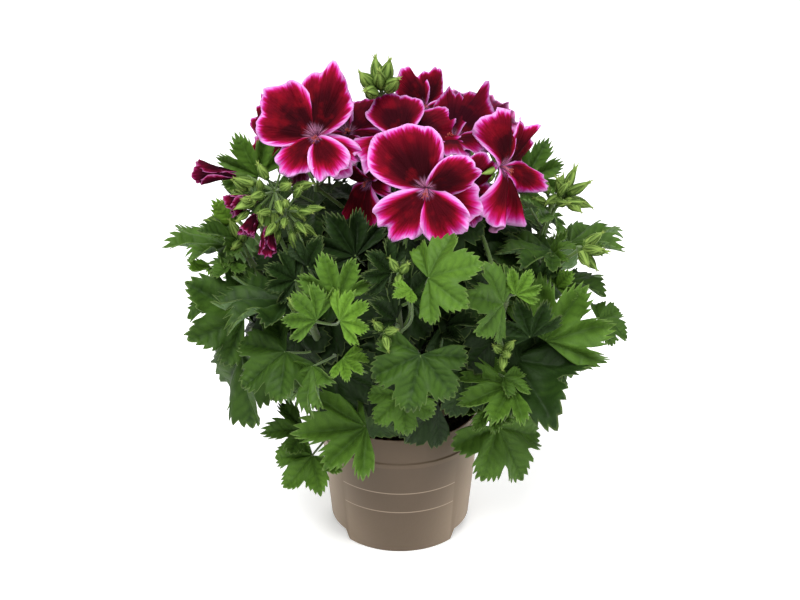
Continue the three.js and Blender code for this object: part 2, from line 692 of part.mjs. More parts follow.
// Leaf blades, stem by stem: clear of the petals, of other stems' stalks and of earlier stems' blades.
const bladeClear = [];
const foliage = STEMS.map((stem, i) => {
  const others = unite(clearSkeletons.filter((_, j) => j !== i));
  const cutters = [others, allPetals, ...bladeClear];
  const blades = stem.leaves.map((each) => (
    cutters.reduce((rest, cutter) => rest.subtract(cutter), leafBlade(each, 0))
  ));
  bladeClear.push(unite(stem.leaves.map((each) => leafBlade(each, SEAT_GAP))));
  return largestBody(unite([skeletons[i], ...blades]));
});

plant.add(asMesh('pot', makePot(), 'pot'));
plant.add(asMesh('soil', makeSoil(clearSkeletons), 'soil'));
STEMS.forEach(({ name }, i) => plant.add(asMesh(name, foliage[i], 'green')));
petalSolids.forEach(([name, finish, shape]) => plant.add(asMesh(name, shape, finish)));

export default plant;
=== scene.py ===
"""The looks of a potted regal pelargonium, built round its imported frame.

Leaves, stalks, buds, blooms, pot and soil are made finer in the places that the frame gives them.
Places and sizes in the tables are in millimetres, in the frame's own axes: +Z up, -Y to the viewer.
"""

import math
import random

import bmesh
import bpy
from mathutils import Matrix, Vector, noise


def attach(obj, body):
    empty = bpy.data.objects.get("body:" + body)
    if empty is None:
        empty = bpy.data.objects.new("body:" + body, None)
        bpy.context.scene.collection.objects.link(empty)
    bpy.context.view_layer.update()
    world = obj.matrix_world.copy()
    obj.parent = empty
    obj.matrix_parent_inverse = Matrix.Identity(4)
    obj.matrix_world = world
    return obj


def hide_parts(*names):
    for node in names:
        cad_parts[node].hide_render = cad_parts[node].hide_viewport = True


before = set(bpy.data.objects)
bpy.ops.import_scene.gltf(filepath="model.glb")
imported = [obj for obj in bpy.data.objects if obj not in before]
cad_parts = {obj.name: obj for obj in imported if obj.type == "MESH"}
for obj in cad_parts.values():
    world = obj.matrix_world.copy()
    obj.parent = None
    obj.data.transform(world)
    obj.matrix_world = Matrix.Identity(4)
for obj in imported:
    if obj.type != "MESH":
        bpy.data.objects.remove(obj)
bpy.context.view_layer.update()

MM = 0.001
GOLDEN_TURN = math.pi * (3 - math.sqrt(5))
UP = Vector((0, 0, 1))
dice = random.Random(11)


# Frames and paths


def at(point):
    """A point in millimetres as a place in metres."""
    return Vector(point) * MM


def heading(azimuth, elevation):
    """The direction with that azimuth and elevation, in degrees."""
    a, e = math.radians(azimuth), math.radians(elevation)
    return Vector((math.cos(a) * math.cos(e), math.sin(a) * math.cos(e), math.sin(e)))


def round_z(turn, radius=1, z=0):
    """The point at a turn round the Z axis, with that distance from it and that height."""
    return Vector((radius * math.cos(turn), radius * math.sin(turn), z))


def basis(origin, along, across, face):
    """The matrix that takes X, Y and Z to three directions at an origin."""
    return Matrix.Translation(origin) @ Matrix((along, across, face)).transposed().to_4x4()


def frame_along(origin, direction, facing):
    """A frame with X along a direction and Z as near to a facing direction as it can be."""
    along = direction.normalized()
    across = facing.cross(along).normalized()
    return basis(origin, along, across, along.cross(across))


def perpendicular(axis):
    """A direction square to an axis."""
    helper = UP if abs(axis.z) < 0.9 else Vector((1, 0, 0))
    return helper.cross(axis).normalized()


def smooth_path(points, steps=8):
    """A smooth path through the points, with the same number of steps between each two."""
    ends = [2 * points[0] - points[1], *points, 2 * points[-1] - points[-2]]
    path = []
    for a, b, c, d in zip(ends, ends[1:], ends[2:], ends[3:]):
        for step in range(steps):
            t = step / steps
            path.append(0.5 * (2 * b + (c - a) * t + (2 * a - 5 * b + 4 * c - d) * t**2
                               + (3 * b - 3 * c + d - a) * t**3))
    return [*path, points[-1]]


def along_path(path, share):
    """The place at a share of a path's length."""
    lengths = [(b - a).length for a, b in zip(path, path[1:])]
    left = share * sum(lengths)
    for a, b, length in zip(path, path[1:], lengths):
        if left <= length:
            return a.lerp(b, left / length)
        left -= length
    return path[-1].copy()


# Shader helpers


def tint(red, green, blue):
    """A screen colour, 0 to 255, as the shader's linear colour."""
    def linear(value):
        value /= 255
        return value / 12.92 if value <= 0.04045 else ((value + 0.055) / 1.055) ** 2.4
    return (linear(red), linear(green), linear(blue), 1)


def add(tree, kind, inputs=None, **settings):
    """A node of that kind, with its settings, and its inputs as values or as the sockets that feed them."""
    made = tree.nodes.new("ShaderNode" + kind)
    for name, value in settings.items():
        setattr(made, name, value)
    for key, value in (inputs or {}).items():
        if isinstance(value, bpy.types.NodeSocket):
            tree.links.new(value, made.inputs[key])
        else:
            made.inputs[key].default_value = value
    return made


def sum_up(tree, operation, *values):
    """The result of a Math node."""
    return add(tree, "Math", dict(enumerate(values)), operation=operation).outputs[0]


# The sockets of a Mix node that hold its share, its colours and its result
MIX_SHARE, MIX_FIRST, MIX_SECOND, MIX_RESULT = 0, 6, 7, 2


def blend_colour(tree, share, first, second, how="MIX"):
    """Two colours mixed by a share."""
    colours = {MIX_SHARE: share, MIX_FIRST: first, MIX_SECOND: second}
    return add(tree, "Mix", colours, data_type="RGBA", blend_type=how).outputs[MIX_RESULT]


def steps_of(tree, value, stops):
    """A colour ramp: stops are (place, colour) in order."""
    made = add(tree, "ValToRGB", {0: value})
    ramp = made.color_ramp
    while len(ramp.elements) < len(stops):
        ramp.elements.new(0.5)
    for element, (place, colour) in zip(ramp.elements, stops):
        element.position = place
        element.color = colour
    return made.outputs[0]


def rise(tree, value, low, high):
    """0 below low, 1 above high, and smooth in between."""
    made = add(tree, "MapRange", {0: value, 1: low, 2: high}, interpolation_type="SMOOTHSTEP")
    return made.outputs[0]


def fall(tree, value, low, high):
    """1 below low, 0 above high, and smooth in between."""
    return sum_up(tree, "SUBTRACT", 1.0, rise(tree, value, low, high))


def times(tree, first, second):
    """The product of two values."""
    return sum_up(tree, "MULTIPLY", first, second)


def share_of(tree, name):
    """A piece's own attribute as a value."""
    return add(tree, "Attribute", attribute_name=name).outputs["Fac"]


def effect(name, inputs, outputs):
    """An empty shader node group with named value inputs and outputs, and its two end nodes."""
    tree = bpy.data.node_groups.new(name, "ShaderNodeTree")
    for label, value in inputs.items():
        socket = tree.interface.new_socket(label, in_out="INPUT", socket_type="NodeSocketFloat")
        socket.default_value = value
    for label in outputs:
        tree.interface.new_socket(label, in_out="OUTPUT", socket_type="NodeSocketFloat")
    return tree, tree.nodes.new("NodeGroupInput"), tree.nodes.new("NodeGroupOutput")


def use(tree, group, inputs=None):
    """A group node in a tree."""
    made = add(tree, "Group", node_tree=group)
    for key, value in (inputs or {}).items():
        made.inputs[key].default_value = value
    return made


def new_material(name, roughness, specular, **plain):
    """A material with its Principled shader, whose plain values are set by socket name."""
    material = bpy.data.materials.new(name)
    material.use_nodes = True
    tree = material.node_tree
    shader = tree.nodes["Principled BSDF"]
    shader.inputs["Roughness"].default_value = roughness
    shader.inputs["Specular IOR Level"].default_value = specular
    for key, value in plain.items():
        shader.inputs[key.replace("_", " ")].default_value = value
    return material, tree, shader


def colour_with(tree, shader, colour):
    """Gives the shader its colour."""
    tree.links.new(colour, shader.inputs["Base Color"])


def bump_with(tree, shader, height, depth, strength=1.0):
    """Relief of that depth, in metres, from a height of 0 to 1."""
    made = add(tree, "Bump", {"Height": height, "Distance": depth, "Strength": strength})
    tree.links.new(made.outputs[0], shader.inputs["Normal"])


# Shared effects

# Leaf veins: how the middle veins thin out, how the side veins climb, wander, start and end, how the
# blade puffs up between them and sinks at the middle veins, and the fine net over all
VEIN_TAPER = 0.75
VEIN_START = 1.05
VEIN_CORE = 0.2
SIDE_VEIN_SLOPE = 1.1
SIDE_VEIN_DRIFT = 0.17
SIDE_VEIN_WIDTH = 0.075
SIDE_VEIN_ONSET = (0.12, 0.3)
SIDE_VEIN_END = (0.08, 0.3)
PUFF_WIDTH = 0.4
VALLEY_WIDTH = 0.07
VALLEY_DEPTH = 1.2
NET_FINENESS = 30.0
NET_LINE = (0.02, 0.2)


def make_vein_effect():
    """Leaf veins. The UV map "veins" holds, per lobe, the distance off its middle vein and along it."""
    asked, given = {"Width": 0.012, "Per Length": 7.0}, ("Main", "Side", "Quilt", "Net")
    tree, ask, give = effect("leaf_veins", asked, given)
    place = add(tree, "UVMap", uv_map="veins").outputs[0]
    drift = add(tree, "TexNoise", {"Vector": place, "Scale": 5.0, "Detail": 1.0}).outputs[0]
    across, along, _ = add(tree, "SeparateXYZ", {0: place}).outputs
    off = sum_up(tree, "ABSOLUTE", sum_up(tree, "SUBTRACT", across, 0.5))
    thinning = sum_up(tree, "MULTIPLY_ADD", along, -VEIN_TAPER, VEIN_START)
    width = times(tree, ask.outputs["Width"], thinning)
    main = fall(tree, off, times(tree, width, VEIN_CORE), width)
    climb = sum_up(tree, "MULTIPLY_ADD", off, -SIDE_VEIN_SLOPE, along)
    climb = sum_up(tree, "MULTIPLY_ADD", drift, SIDE_VEIN_DRIFT, climb)
    turn = sum_up(tree, "FRACT", times(tree, climb, ask.outputs["Per Length"]))
    near = sum_up(tree, "ABSOLUTE", sum_up(tree, "SUBTRACT", turn, 0.5))
    fade = times(tree, rise(tree, along, *SIDE_VEIN_ONSET), fall(tree, off, *SIDE_VEIN_END))
    side = times(tree, fall(tree, near, 0.0, SIDE_VEIN_WIDTH), fade)
    puff = times(tree, rise(tree, near, 0.0, PUFF_WIDTH), fade)
    quilt = sum_up(tree, "MULTIPLY_ADD", fall(tree, off, 0.0, VALLEY_WIDTH), -VALLEY_DEPTH, puff)
    cells = add(tree, "TexVoronoi", {"Vector": place, "Scale": NET_FINENESS}, feature="DISTANCE_TO_EDGE")
    net = fall(tree, cells.outputs["Distance"], *NET_LINE)
    for label, value in (("Main", main), ("Side", side), ("Quilt", quilt), ("Net", net)):
        tree.links.new(value, give.inputs[label])
    return tree


# How many times finer the grain is than the patches
GRAIN_FINENESS = 14.0


def make_mottle_effect():
    """Soft patches of light and dark, and a grain much finer than they are."""
    tree, ask, give = effect("mottle", {"Scale": 60.0, "Detail": 3.0}, ("Patches", "Grain"))
    place = add(tree, "TexCoord").outputs["Object"]
    scale, detail = ask.outputs["Scale"], ask.outputs["Detail"]
    patches = add(tree, "TexNoise", {"Vector": place, "Scale": scale, "Detail": detail})
    finer = times(tree, scale, GRAIN_FINENESS)
    grain = add(tree, "TexNoise", {"Vector": place, "Scale": finer, "Detail": 2.0})
    tree.links.new(patches.outputs[0], give.inputs["Patches"])
    tree.links.new(grain.outputs[0], give.inputs["Grain"])
    return tree


# How often a streak breaks along a petal, and how much finer and longer its thin lines are
STREAK_BREAKS = 2.4
LINE_STRETCH = (2.2, 0.5, 1.0)


def make_streak_effect():
    """Streaks that fan out from a petal's base. The UV map "fan" holds the angle and the reach."""
    tree, ask, give = effect("petal_streaks", {"Fineness": 30.0}, ("Ragged", "Lines", "Reach"))
    place = add(tree, "UVMap", uv_map="fan").outputs[0]
    angle, reach, _ = add(tree, "SeparateXYZ", {0: place}).outputs
    around = times(tree, angle, ask.outputs["Fineness"])
    outward = times(tree, reach, STREAK_BREAKS)
    warped = add(tree, "CombineXYZ", {0: around, 1: outward, 2: share_of(tree, "seed")}).outputs[0]
    rough = {"Vector": warped, "Scale": 1.0, "Detail": 3.0, "Roughness": 0.6}
    ragged = add(tree, "TexNoise", rough).outputs[0]
    finer = add(tree, "VectorMath", {0: warped, 1: LINE_STRETCH}, operation="MULTIPLY").outputs[0]
    lines = add(tree, "TexNoise", {"Vector": finer, "Scale": 1.0, "Detail": 1.0}).outputs[0]
    for label, value in (("Ragged", ragged), ("Lines", lines), ("Reach", reach)):
        tree.links.new(value, give.inputs[label])
    return tree


VEINS = make_vein_effect()
MOTTLE = make_mottle_effect()
STREAKS = make_streak_effect()


# Materials

# How much each part of a leaf's pattern shows in its colour, the quilt's share painting light on the puffed
# blade and shade in the grooves over its middle veins, its pale rim, and the shares of net and grain in its
# relief
LEAF_PATCHES = 55.0
LEAF_SHARES = {"patches": 0.34, "quilt": 0.05, "offset": 0.18, "net": 0.1, "side": 0.5, "rim": 0.14}
LEAF_RIM = tint(160, 182, 108)
LEAF_RIM_START = 0.97
NET_RELIEF = 0.16
GRAIN_RELIEF = 0.18


def leaf_material(name, tones, vein, line_share, relief, roughness, sheen):
    """A leaf's face: tones from the darkest, which paint the shade it stands in, to the youngest, the
    colour of its veins and its relief.
    """
    material, tree, shader = new_material(name, roughness, 0.1, Sheen_Weight=sheen, Sheen_Roughness=0.5)
    veins = use(tree, VEINS).outputs
    patches, grain = use(tree, MOTTLE, {"Scale": LEAF_PATCHES}).outputs
    # A leaf's tone mark paints the shade it stands in as well as its age
    tone = sum_up(tree, "MULTIPLY_ADD", patches, LEAF_SHARES["patches"], share_of(tree, "tone"))
    # The quilt paints light on the blade puffed between the side veins and shade in the grooves over the
    # middle veins
    tone = sum_up(tree, "MULTIPLY_ADD", veins["Quilt"], LEAF_SHARES["quilt"], tone)
    body = steps_of(tree, sum_up(tree, "SUBTRACT", tone, LEAF_SHARES["offset"]), tones)
    body = blend_colour(tree, times(tree, veins["Net"], LEAF_SHARES["net"]), body, vein)
    body = blend_colour(tree, times(tree, veins["Side"], LEAF_SHARES["side"] * line_share), body, vein)
    body = blend_colour(tree, times(tree, veins["Main"], line_share), body, vein)
    rim = times(tree, rise(tree, share_of(tree, "margin"), LEAF_RIM_START, 1.0), LEAF_SHARES["rim"])
    colour_with(tree, shader, blend_colour(tree, rim, body, LEAF_RIM))
    height = sum_up(tree, "MULTIPLY_ADD", veins["Net"], -NET_RELIEF, veins["Quilt"])
    height = sum_up(tree, "MULTIPLY_ADD", grain, GRAIN_RELIEF, height)
    bump_with(tree, shader, height, relief)
    return material


# A petal's pattern: how far its lines comb its colour zones, where its rim turns smooth, its dark lines,
# its brighter red patches, the lines and ragged end of its pale throat, and its colour in deep shade
COMBED = 0.7
SMOOTH_RIM = 0.95
DARK_LINES = (0.5, 0.7)
DARK_LINE_SHARE = 0.35
VELVET_PATCHES = 110.0
BRIGHT_PATCH_RANGE = (0.48, 0.72)
BRIGHT_PATCH_SHARE = 0.2
BRIGHT_PATCH_RED = tint(156, 10, 26)
PALE_LINES = (0.46, 0.56)
THROAT_SPREAD = 0.2
THROAT_CORE = 0.15
DEEP_SHADE = tint(34, 4, 16)


def petal_material(name, zones, throat, line, fineness, ragged, pale_reach):
    """A petal's face: colour zones from its middle to its rim, a pale throat and dark feathered lines."""
    material, tree, shader = new_material(name, 0.85, 0.03)
    uneven, lines, reach = use(tree, STREAKS, {"Fineness": fineness}).outputs
    margin = share_of(tree, "margin")
    combed = sum_up(tree, "MULTIPLY_ADD", lines, COMBED * ragged, -0.5 * COMBED * ragged)
    feather = sum_up(tree, "ADD", combed, sum_up(tree, "MULTIPLY_ADD", uneven, ragged, -0.5 * ragged))
    strength = fall(tree, margin, SMOOTH_RIM, 1.0)
    body = steps_of(tree, sum_up(tree, "MULTIPLY_ADD", feather, strength, margin), zones)
    dark_lines = times(tree, rise(tree, lines, *DARK_LINES), DARK_LINE_SHARE)
    body = blend_colour(tree, dark_lines, body, line, "MULTIPLY")
    velvet = use(tree, MOTTLE, {"Scale": VELVET_PATCHES}).outputs["Patches"]
    # Patches of the velvet are screened towards a brighter red
    bright_patches = times(tree, rise(tree, velvet, *BRIGHT_PATCH_RANGE), BRIGHT_PATCH_SHARE)
    body = blend_colour(tree, bright_patches, body, BRIGHT_PATCH_RED, "SCREEN")
    spread = sum_up(tree, "MULTIPLY_ADD", uneven, THROAT_SPREAD, -0.5 * THROAT_SPREAD)
    base = fall(tree, sum_up(tree, "ADD", reach, spread), THROAT_CORE * pale_reach, pale_reach)
    body = blend_colour(tree, times(tree, base, rise(tree, lines, *PALE_LINES)), body, throat)
    colour_with(tree, shader, blend_colour(tree, share_of(tree, "shade"), body, DEEP_SHADE))
    bump_with(tree, shader, lines, 0.0007)
    return material


# A petal's back: how ragged its colours are, and those from its middle to its rim
BACK_SPREAD = 0.3
BACK_ZONES = ((0.5, tint(104, 20, 42)), (0.8, tint(124, 22, 58)), (0.9, tint(164, 56, 112)),
              (0.98, tint(200, 130, 180)))


def petal_back_material():
    """The duller back of a petal, pink towards its rim."""
    material, tree, shader = new_material("petal_back", 0.75, 0.1, Sheen_Weight=0.1)
    uneven, lines, _ = use(tree, STREAKS, {"Fineness": 30.0}).outputs
    spread = sum_up(tree, "MULTIPLY_ADD", uneven, BACK_SPREAD, -0.5 * BACK_SPREAD)
    place = sum_up(tree, "ADD", spread, share_of(tree, "margin"))
    colour_with(tree, shader, steps_of(tree, place, BACK_ZONES))
    bump_with(tree, shader, lines, 0.0003, strength=0.8)
    return material


# The heights, in metres, between which a stalk's old colour gives way to its young one, how far that
# wanders, and its brown spots
OLD_WOOD = (0.11, 0.2)
OLD_WOOD_DRIFT = 0.05
SPOTS = (0.52, 0.62)
SPOT_SHARE = 0.25
SPOT_BROWN = tint(84, 66, 40)


def stalk_material(name, low, high, bark=0.0):
    """A stalk's green skin, browner where it is old, with a fine grain."""
    material, tree, shader = new_material(name, 0.6, 0.3, Sheen_Weight=0.25)
    patches, grain = use(tree, MOTTLE, {"Scale": 120.0}).outputs
    height = add(tree, "SeparateXYZ", {0: add(tree, "TexCoord").outputs["Object"]}).outputs[2]
    age = sum_up(tree, "MULTIPLY_ADD", patches, OLD_WOOD_DRIFT, height)
    body = blend_colour(tree, rise(tree, age, *OLD_WOOD), low, high)
    spots = times(tree, rise(tree, grain, *SPOTS), SPOT_SHARE + bark)
    colour_with(tree, shader, blend_colour(tree, spots, body, SPOT_BROWN))
    bump_with(tree, shader, grain, 0.0004)
    return material


# A bud's gaps and sepal edges, dark with painted shade, its ridges, paler partly with their own green and
# partly with painted highlight, the brown of its tips and its duller patches
BUD_RIDGE_END = 0.8
BUD_GAP_PAINTED_SHADE, BUD_RIDGE_GREEN_AND_HIGHLIGHT = tint(52, 76, 26), tint(128, 152, 74)
BUD_TIP_START, BUD_TIP_SHARE, BUD_TIP_BROWN = 0.78, 0.5, tint(118, 110, 60)
BUD_PATCH_SHARE, BUD_PATCH_GREEN = 0.4, tint(90, 114, 46)


def bud_material():
    """A bud's sepals: yellow-green down their middles, partly painted highlight, with painted shade in the
    gaps between them and brownish tips.
    """
    material, tree, shader = new_material("bud_sepals", 0.65, 0.1)
    patches, grain = use(tree, MOTTLE, {"Scale": 160.0}).outputs
    # Towards the sepals' edges and on the core between them the colour is painted shade; down their middles
    # it is partly their own paler green and partly painted highlight
    ridge = rise(tree, share_of(tree, "ridge"), 0.0, BUD_RIDGE_END)
    body = blend_colour(tree, ridge, BUD_GAP_PAINTED_SHADE, BUD_RIDGE_GREEN_AND_HIGHLIGHT)
    tip = times(tree, rise(tree, share_of(tree, "margin"), BUD_TIP_START, 1.0), BUD_TIP_SHARE)
    body = blend_colour(tree, tip, body, BUD_TIP_BROWN)
    dull = times(tree, patches, BUD_PATCH_SHARE)
    colour_with(tree, shader, blend_colour(tree, dull, body, BUD_PATCH_GREEN))
    bump_with(tree, shader, grain, 0.00015)
    return material


def plain_material(name, colour, other, scale):
    """A surface that varies softly between two colours, with a fine grain."""
    material, tree, shader = new_material(name, 0.5, 0.3)
    patches, grain = use(tree, MOTTLE, {"Scale": scale}).outputs
    colour_with(tree, shader, blend_colour(tree, patches, colour, other))
    bump_with(tree, shader, grain, 0.0001)
    return material


# Soil tones, as (place, colour) in order
SOIL_TONES = ((0.3, tint(18, 12, 10)), (0.6, tint(52, 38, 28)), (0.82, tint(84, 62, 44)))


def soil_material():
    """Dark moist potting mix, with paler fibres."""
    material, tree, shader = new_material("potting_mix", 0.95, 0.15)
    patches = use(tree, MOTTLE, {"Scale": 260.0, "Detail": 5.0}).outputs["Patches"]
    colour_with(tree, shader, steps_of(tree, patches, SOIL_TONES))
    bump_with(tree, shader, patches, 0.0016)
    return material


# The pot's plastic, its darker panel from that far under the collar's foot, and the painted sheen that
# pales its sides
PLASTIC, PLASTIC_PATCH = tint(92, 77, 61), tint(85, 71, 56)
PANEL_TOP, PANEL_SHARE, PANEL_TONE = (0.0035, 0.0028), 0.6, tint(78, 65, 52)
PAINTED_SHEEN_FACING, PAINTED_SHEEN_SHARE, PAINTED_SHEEN_TONE = (0.2, 0.8), 0.8, tint(154, 135, 113)
# Its two thin rules: their heights and half width, in metres, where their middle lies and how far round
# they go, and the soft end of that
RULE_HEIGHTS = (0.0506, 0.0345)
RULE_LINE, RULE_SHARE, RULE_TONE = (0.0002, 0.00045), 0.6, tint(170, 152, 132)
RULE_TURN = math.radians(-1)
RULE_REACH = math.radians(46)
RULE_FADE = 0.01
# The radius, in metres, inside which it is brown above its collar's foot, and how softly that starts
INNER_SKIN, INNER_FADE, INNER_TONE = 0.0554, 0.0002, tint(112, 62, 34)
INNER_FOOT_FADE = 0.001


def pot_material(collar_foot):
    """Taupe moulded plastic, with a painted sheen that pales its sides, two thin pale rules and a brown
    inside.
    """
    material, tree, shader = new_material("taupe_plastic", 0.5, 0.25)
    x, y, z = add(tree, "SeparateXYZ", {0: add(tree, "TexCoord").outputs["Object"]}).outputs
    patches, grain = use(tree, MOTTLE, {"Scale": 22.0}).outputs
    body = blend_colour(tree, patches, PLASTIC, PLASTIC_PATCH)
    panel = fall(tree, z, *[collar_foot - drop for drop in PANEL_TOP])
    body = blend_colour(tree, times(tree, panel, PANEL_SHARE), body, PANEL_TONE)
    # Painted sheen: where the pot is seen edge-on its colour is paled towards a light tone
    facing = add(tree, "LayerWeight", {"Blend": 0.5}).outputs["Facing"]
    side = times(tree, rise(tree, facing, *PAINTED_SHEEN_FACING), PAINTED_SHEEN_SHARE)
    body = blend_colour(tree, side, body, PAINTED_SHEEN_TONE)
    turn = sum_up(tree, "ARCTAN2", x, times(tree, y, -1.0))
    off = sum_up(tree, "ABSOLUTE", sum_up(tree, "SUBTRACT", turn, RULE_TURN))
    front = fall(tree, off, RULE_REACH, RULE_REACH + RULE_FADE)
    for height in RULE_HEIGHTS:
        line = fall(tree, sum_up(tree, "ABSOLUTE", sum_up(tree, "SUBTRACT", z, height)), *RULE_LINE)
        rule = times(tree, times(tree, line, front), RULE_SHARE)
        body = blend_colour(tree, rule, body, RULE_TONE)
    across = sum_up(tree, "SQRT", sum_up(tree, "ADD", times(tree, x, x), times(tree, y, y)))
    above = rise(tree, z, collar_foot, collar_foot + INNER_FOOT_FADE)
    inside = times(tree, above, fall(tree, across, INNER_SKIN, INNER_SKIN + INNER_FADE))
    colour_with(tree, shader, blend_colour(tree, inside, body, INNER_TONE))
    bump_with(tree, shader, grain, 0.00012)
    return material


# Tones and colour zones, as (place, colour) in order. A leaf's darkest tones are painted shade and its
# brightest the paler green of young leaves
LEAF_TONES_WITH_PAINTED_SHADE = (
    (0.0, tint(10, 18, 6)), (0.3, tint(32, 52, 18)), (0.6, tint(68, 98, 32)), (0.85, tint(92, 128, 40)),
    (1.0, tint(116, 150, 50)),
)
LEAF_BACK_TONES_WITH_PAINTED_SHADE = ((0.0, tint(42, 62, 34)), (0.5, tint(74, 104, 56)), (1.0, tint(122, 154, 76)))
UPPER_ZONES = (
    (0.5, tint(42, 5, 11)), (0.62, tint(50, 5, 13)), (0.72, tint(72, 6, 17)), (0.87, tint(98, 8, 26)),
    (0.915, tint(138, 12, 54)), (0.94, tint(170, 30, 118)), (0.962, tint(188, 88, 164)),
    (0.985, tint(208, 142, 202)),
)
LOWER_ZONES = (
    (0.54, tint(62, 6, 15)), (0.66, tint(84, 7, 19)), (0.76, tint(124, 9, 36)), (0.82, tint(156, 16, 76)),
    (0.87, tint(176, 40, 124)), (0.91, tint(188, 82, 160)), (0.95, tint(200, 126, 192)),
    (0.99, tint(212, 154, 208)),
)
ROLLED_ZONES = (
    (0.5, tint(30, 3, 10)), (0.8, tint(48, 4, 15)), (0.92, tint(96, 8, 38)), (0.965, tint(160, 34, 96)),
    (0.99, tint(196, 112, 166)),
)

LEAF_FACE = leaf_material(
    "leaf_face", LEAF_TONES_WITH_PAINTED_SHADE, vein=tint(26, 50, 14), line_share=0.2, relief=0.00028, roughness=0.5,
    sheen=0.0,
)
LEAF_BACK = leaf_material(
    "leaf_back", LEAF_BACK_TONES_WITH_PAINTED_SHADE, vein=tint(120, 144, 88), line_share=0.6, relief=0.0003, roughness=0.7,
    sheen=0.08,
)
UPPER_PETAL = petal_material(
    "upper_petal", UPPER_ZONES, throat=tint(216, 146, 188), line=tint(92, 8, 40), fineness=38.0,
    ragged=0.2, pale_reach=0.23,
)
LOWER_PETAL = petal_material(
    "lower_petal", LOWER_ZONES, throat=tint(208, 140, 198), line=tint(126, 10, 56), fineness=34.0,
    ragged=0.26, pale_reach=0.2,
)
ROLLED_PETAL = petal_material(
    "rolled_petal", ROLLED_ZONES, throat=tint(40, 4, 14), line=tint(26, 3, 10), fineness=20.0,
    ragged=0.3, pale_reach=0.1,
)
PETAL_BACK = petal_back_material()
STEM_SKIN = stalk_material("stem_skin", tint(84, 72, 42), tint(62, 84, 36), bark=0.3)
STALK_SKIN = stalk_material("stalk_skin", tint(64, 84, 32), tint(74, 102, 38))
BUD_SEPALS = bud_material()
HAIR = plain_material("fine_hairs", tint(156, 184, 96), tint(190, 208, 140), 90.0)
STIGMA = plain_material("stigma", tint(120, 34, 34), tint(158, 70, 54), 400.0)
FILAMENT = plain_material("filament", tint(190, 110, 130), tint(142, 54, 74), 300.0)
SOIL_SKIN = soil_material()

# The skins of each kind of piece, and the numbers by which its faces name them
STALK_SKINS = (STEM_SKIN, STALK_SKIN, BUD_SEPALS, HAIR)
STEM, STALK, SEPALS, HAIRS = range(4)
BLOOM_SKINS = (UPPER_PETAL, LOWER_PETAL, PETAL_BACK, PETAL_BACK)
UPPER, LOWER, BACK = range(3)
HEART_SKINS = (FILAMENT, STIGMA)
THREAD, TIP = range(2)
LEAF_SKINS = (LEAF_FACE, LEAF_BACK)
ROLLED_SKINS = (ROLLED_PETAL, ROLLED_PETAL)
UNDERSIDE = 1


# Pieces


def as_piece(name, mesh, nodes, skins):
    """A finished mesh as a smooth piece of the plant that stands for its nodes."""
    piece = bpy.data.objects.new(name, mesh)
    bpy.context.scene.collection.objects.link(piece)
    while len(mesh.materials) < len(skins):
        mesh.materials.append(None)
    while len(mesh.materials) > len(skins):
        mesh.materials.pop()
    for i, skin in enumerate(skins):
        mesh.materials[i] = skin
    mesh.polygons.foreach_set("use_smooth", [True] * len(mesh.polygons))
    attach(piece, "root")
    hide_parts(*nodes)
    return piece


def thicken(piece, thickness, back):
    """Gives a sheet its thickness below its face, with another material on its back."""
    modifier = piece.modifiers.new("thickness", "SOLIDIFY")
    modifier.thickness = thickness
    modifier.offset = -1
    modifier.material_offset = back
    modifier.material_offset_rim = 0


def marked_bmesh(marks, uv_map=None):
    """An empty bmesh with those marks on its points, and with that UV map."""
    bm = bmesh.new()
    for mark in marks:
        bm.verts.layers.float.new(mark)
    if uv_map:
        bm.loops.layers.uv.new(uv_map)
    return bm


def finished(bm, name):
    """The bmesh as a mesh."""
    mesh = bpy.data.meshes.new(name)
    bm.to_mesh(mesh)
    bm.free()
    return mesh


def placed_copy(bm, template, place, shape=None, **marks):
    """Adds a copy of a template mesh, each of its points shaped and placed, with marks on its points."""
    known = len(bm.verts)
    bm.from_mesh(template)
    bm.verts.ensure_lookup_table()
    layers = {bm.verts.layers.float[mark]: value for mark, value in marks.items()}
    for i in range(known, len(bm.verts)):
        vert = bm.verts[i]
        vert.co = place @ (shape(vert.co) if shape else vert.co)
        for layer, value in layers.items():
            vert[layer] = value


# Leaves

FIVE_LOBES = (-0.84, -0.43, 0, 0.43, 0.84)
THREE_LOBES = (-0.7, 0, 0.7)
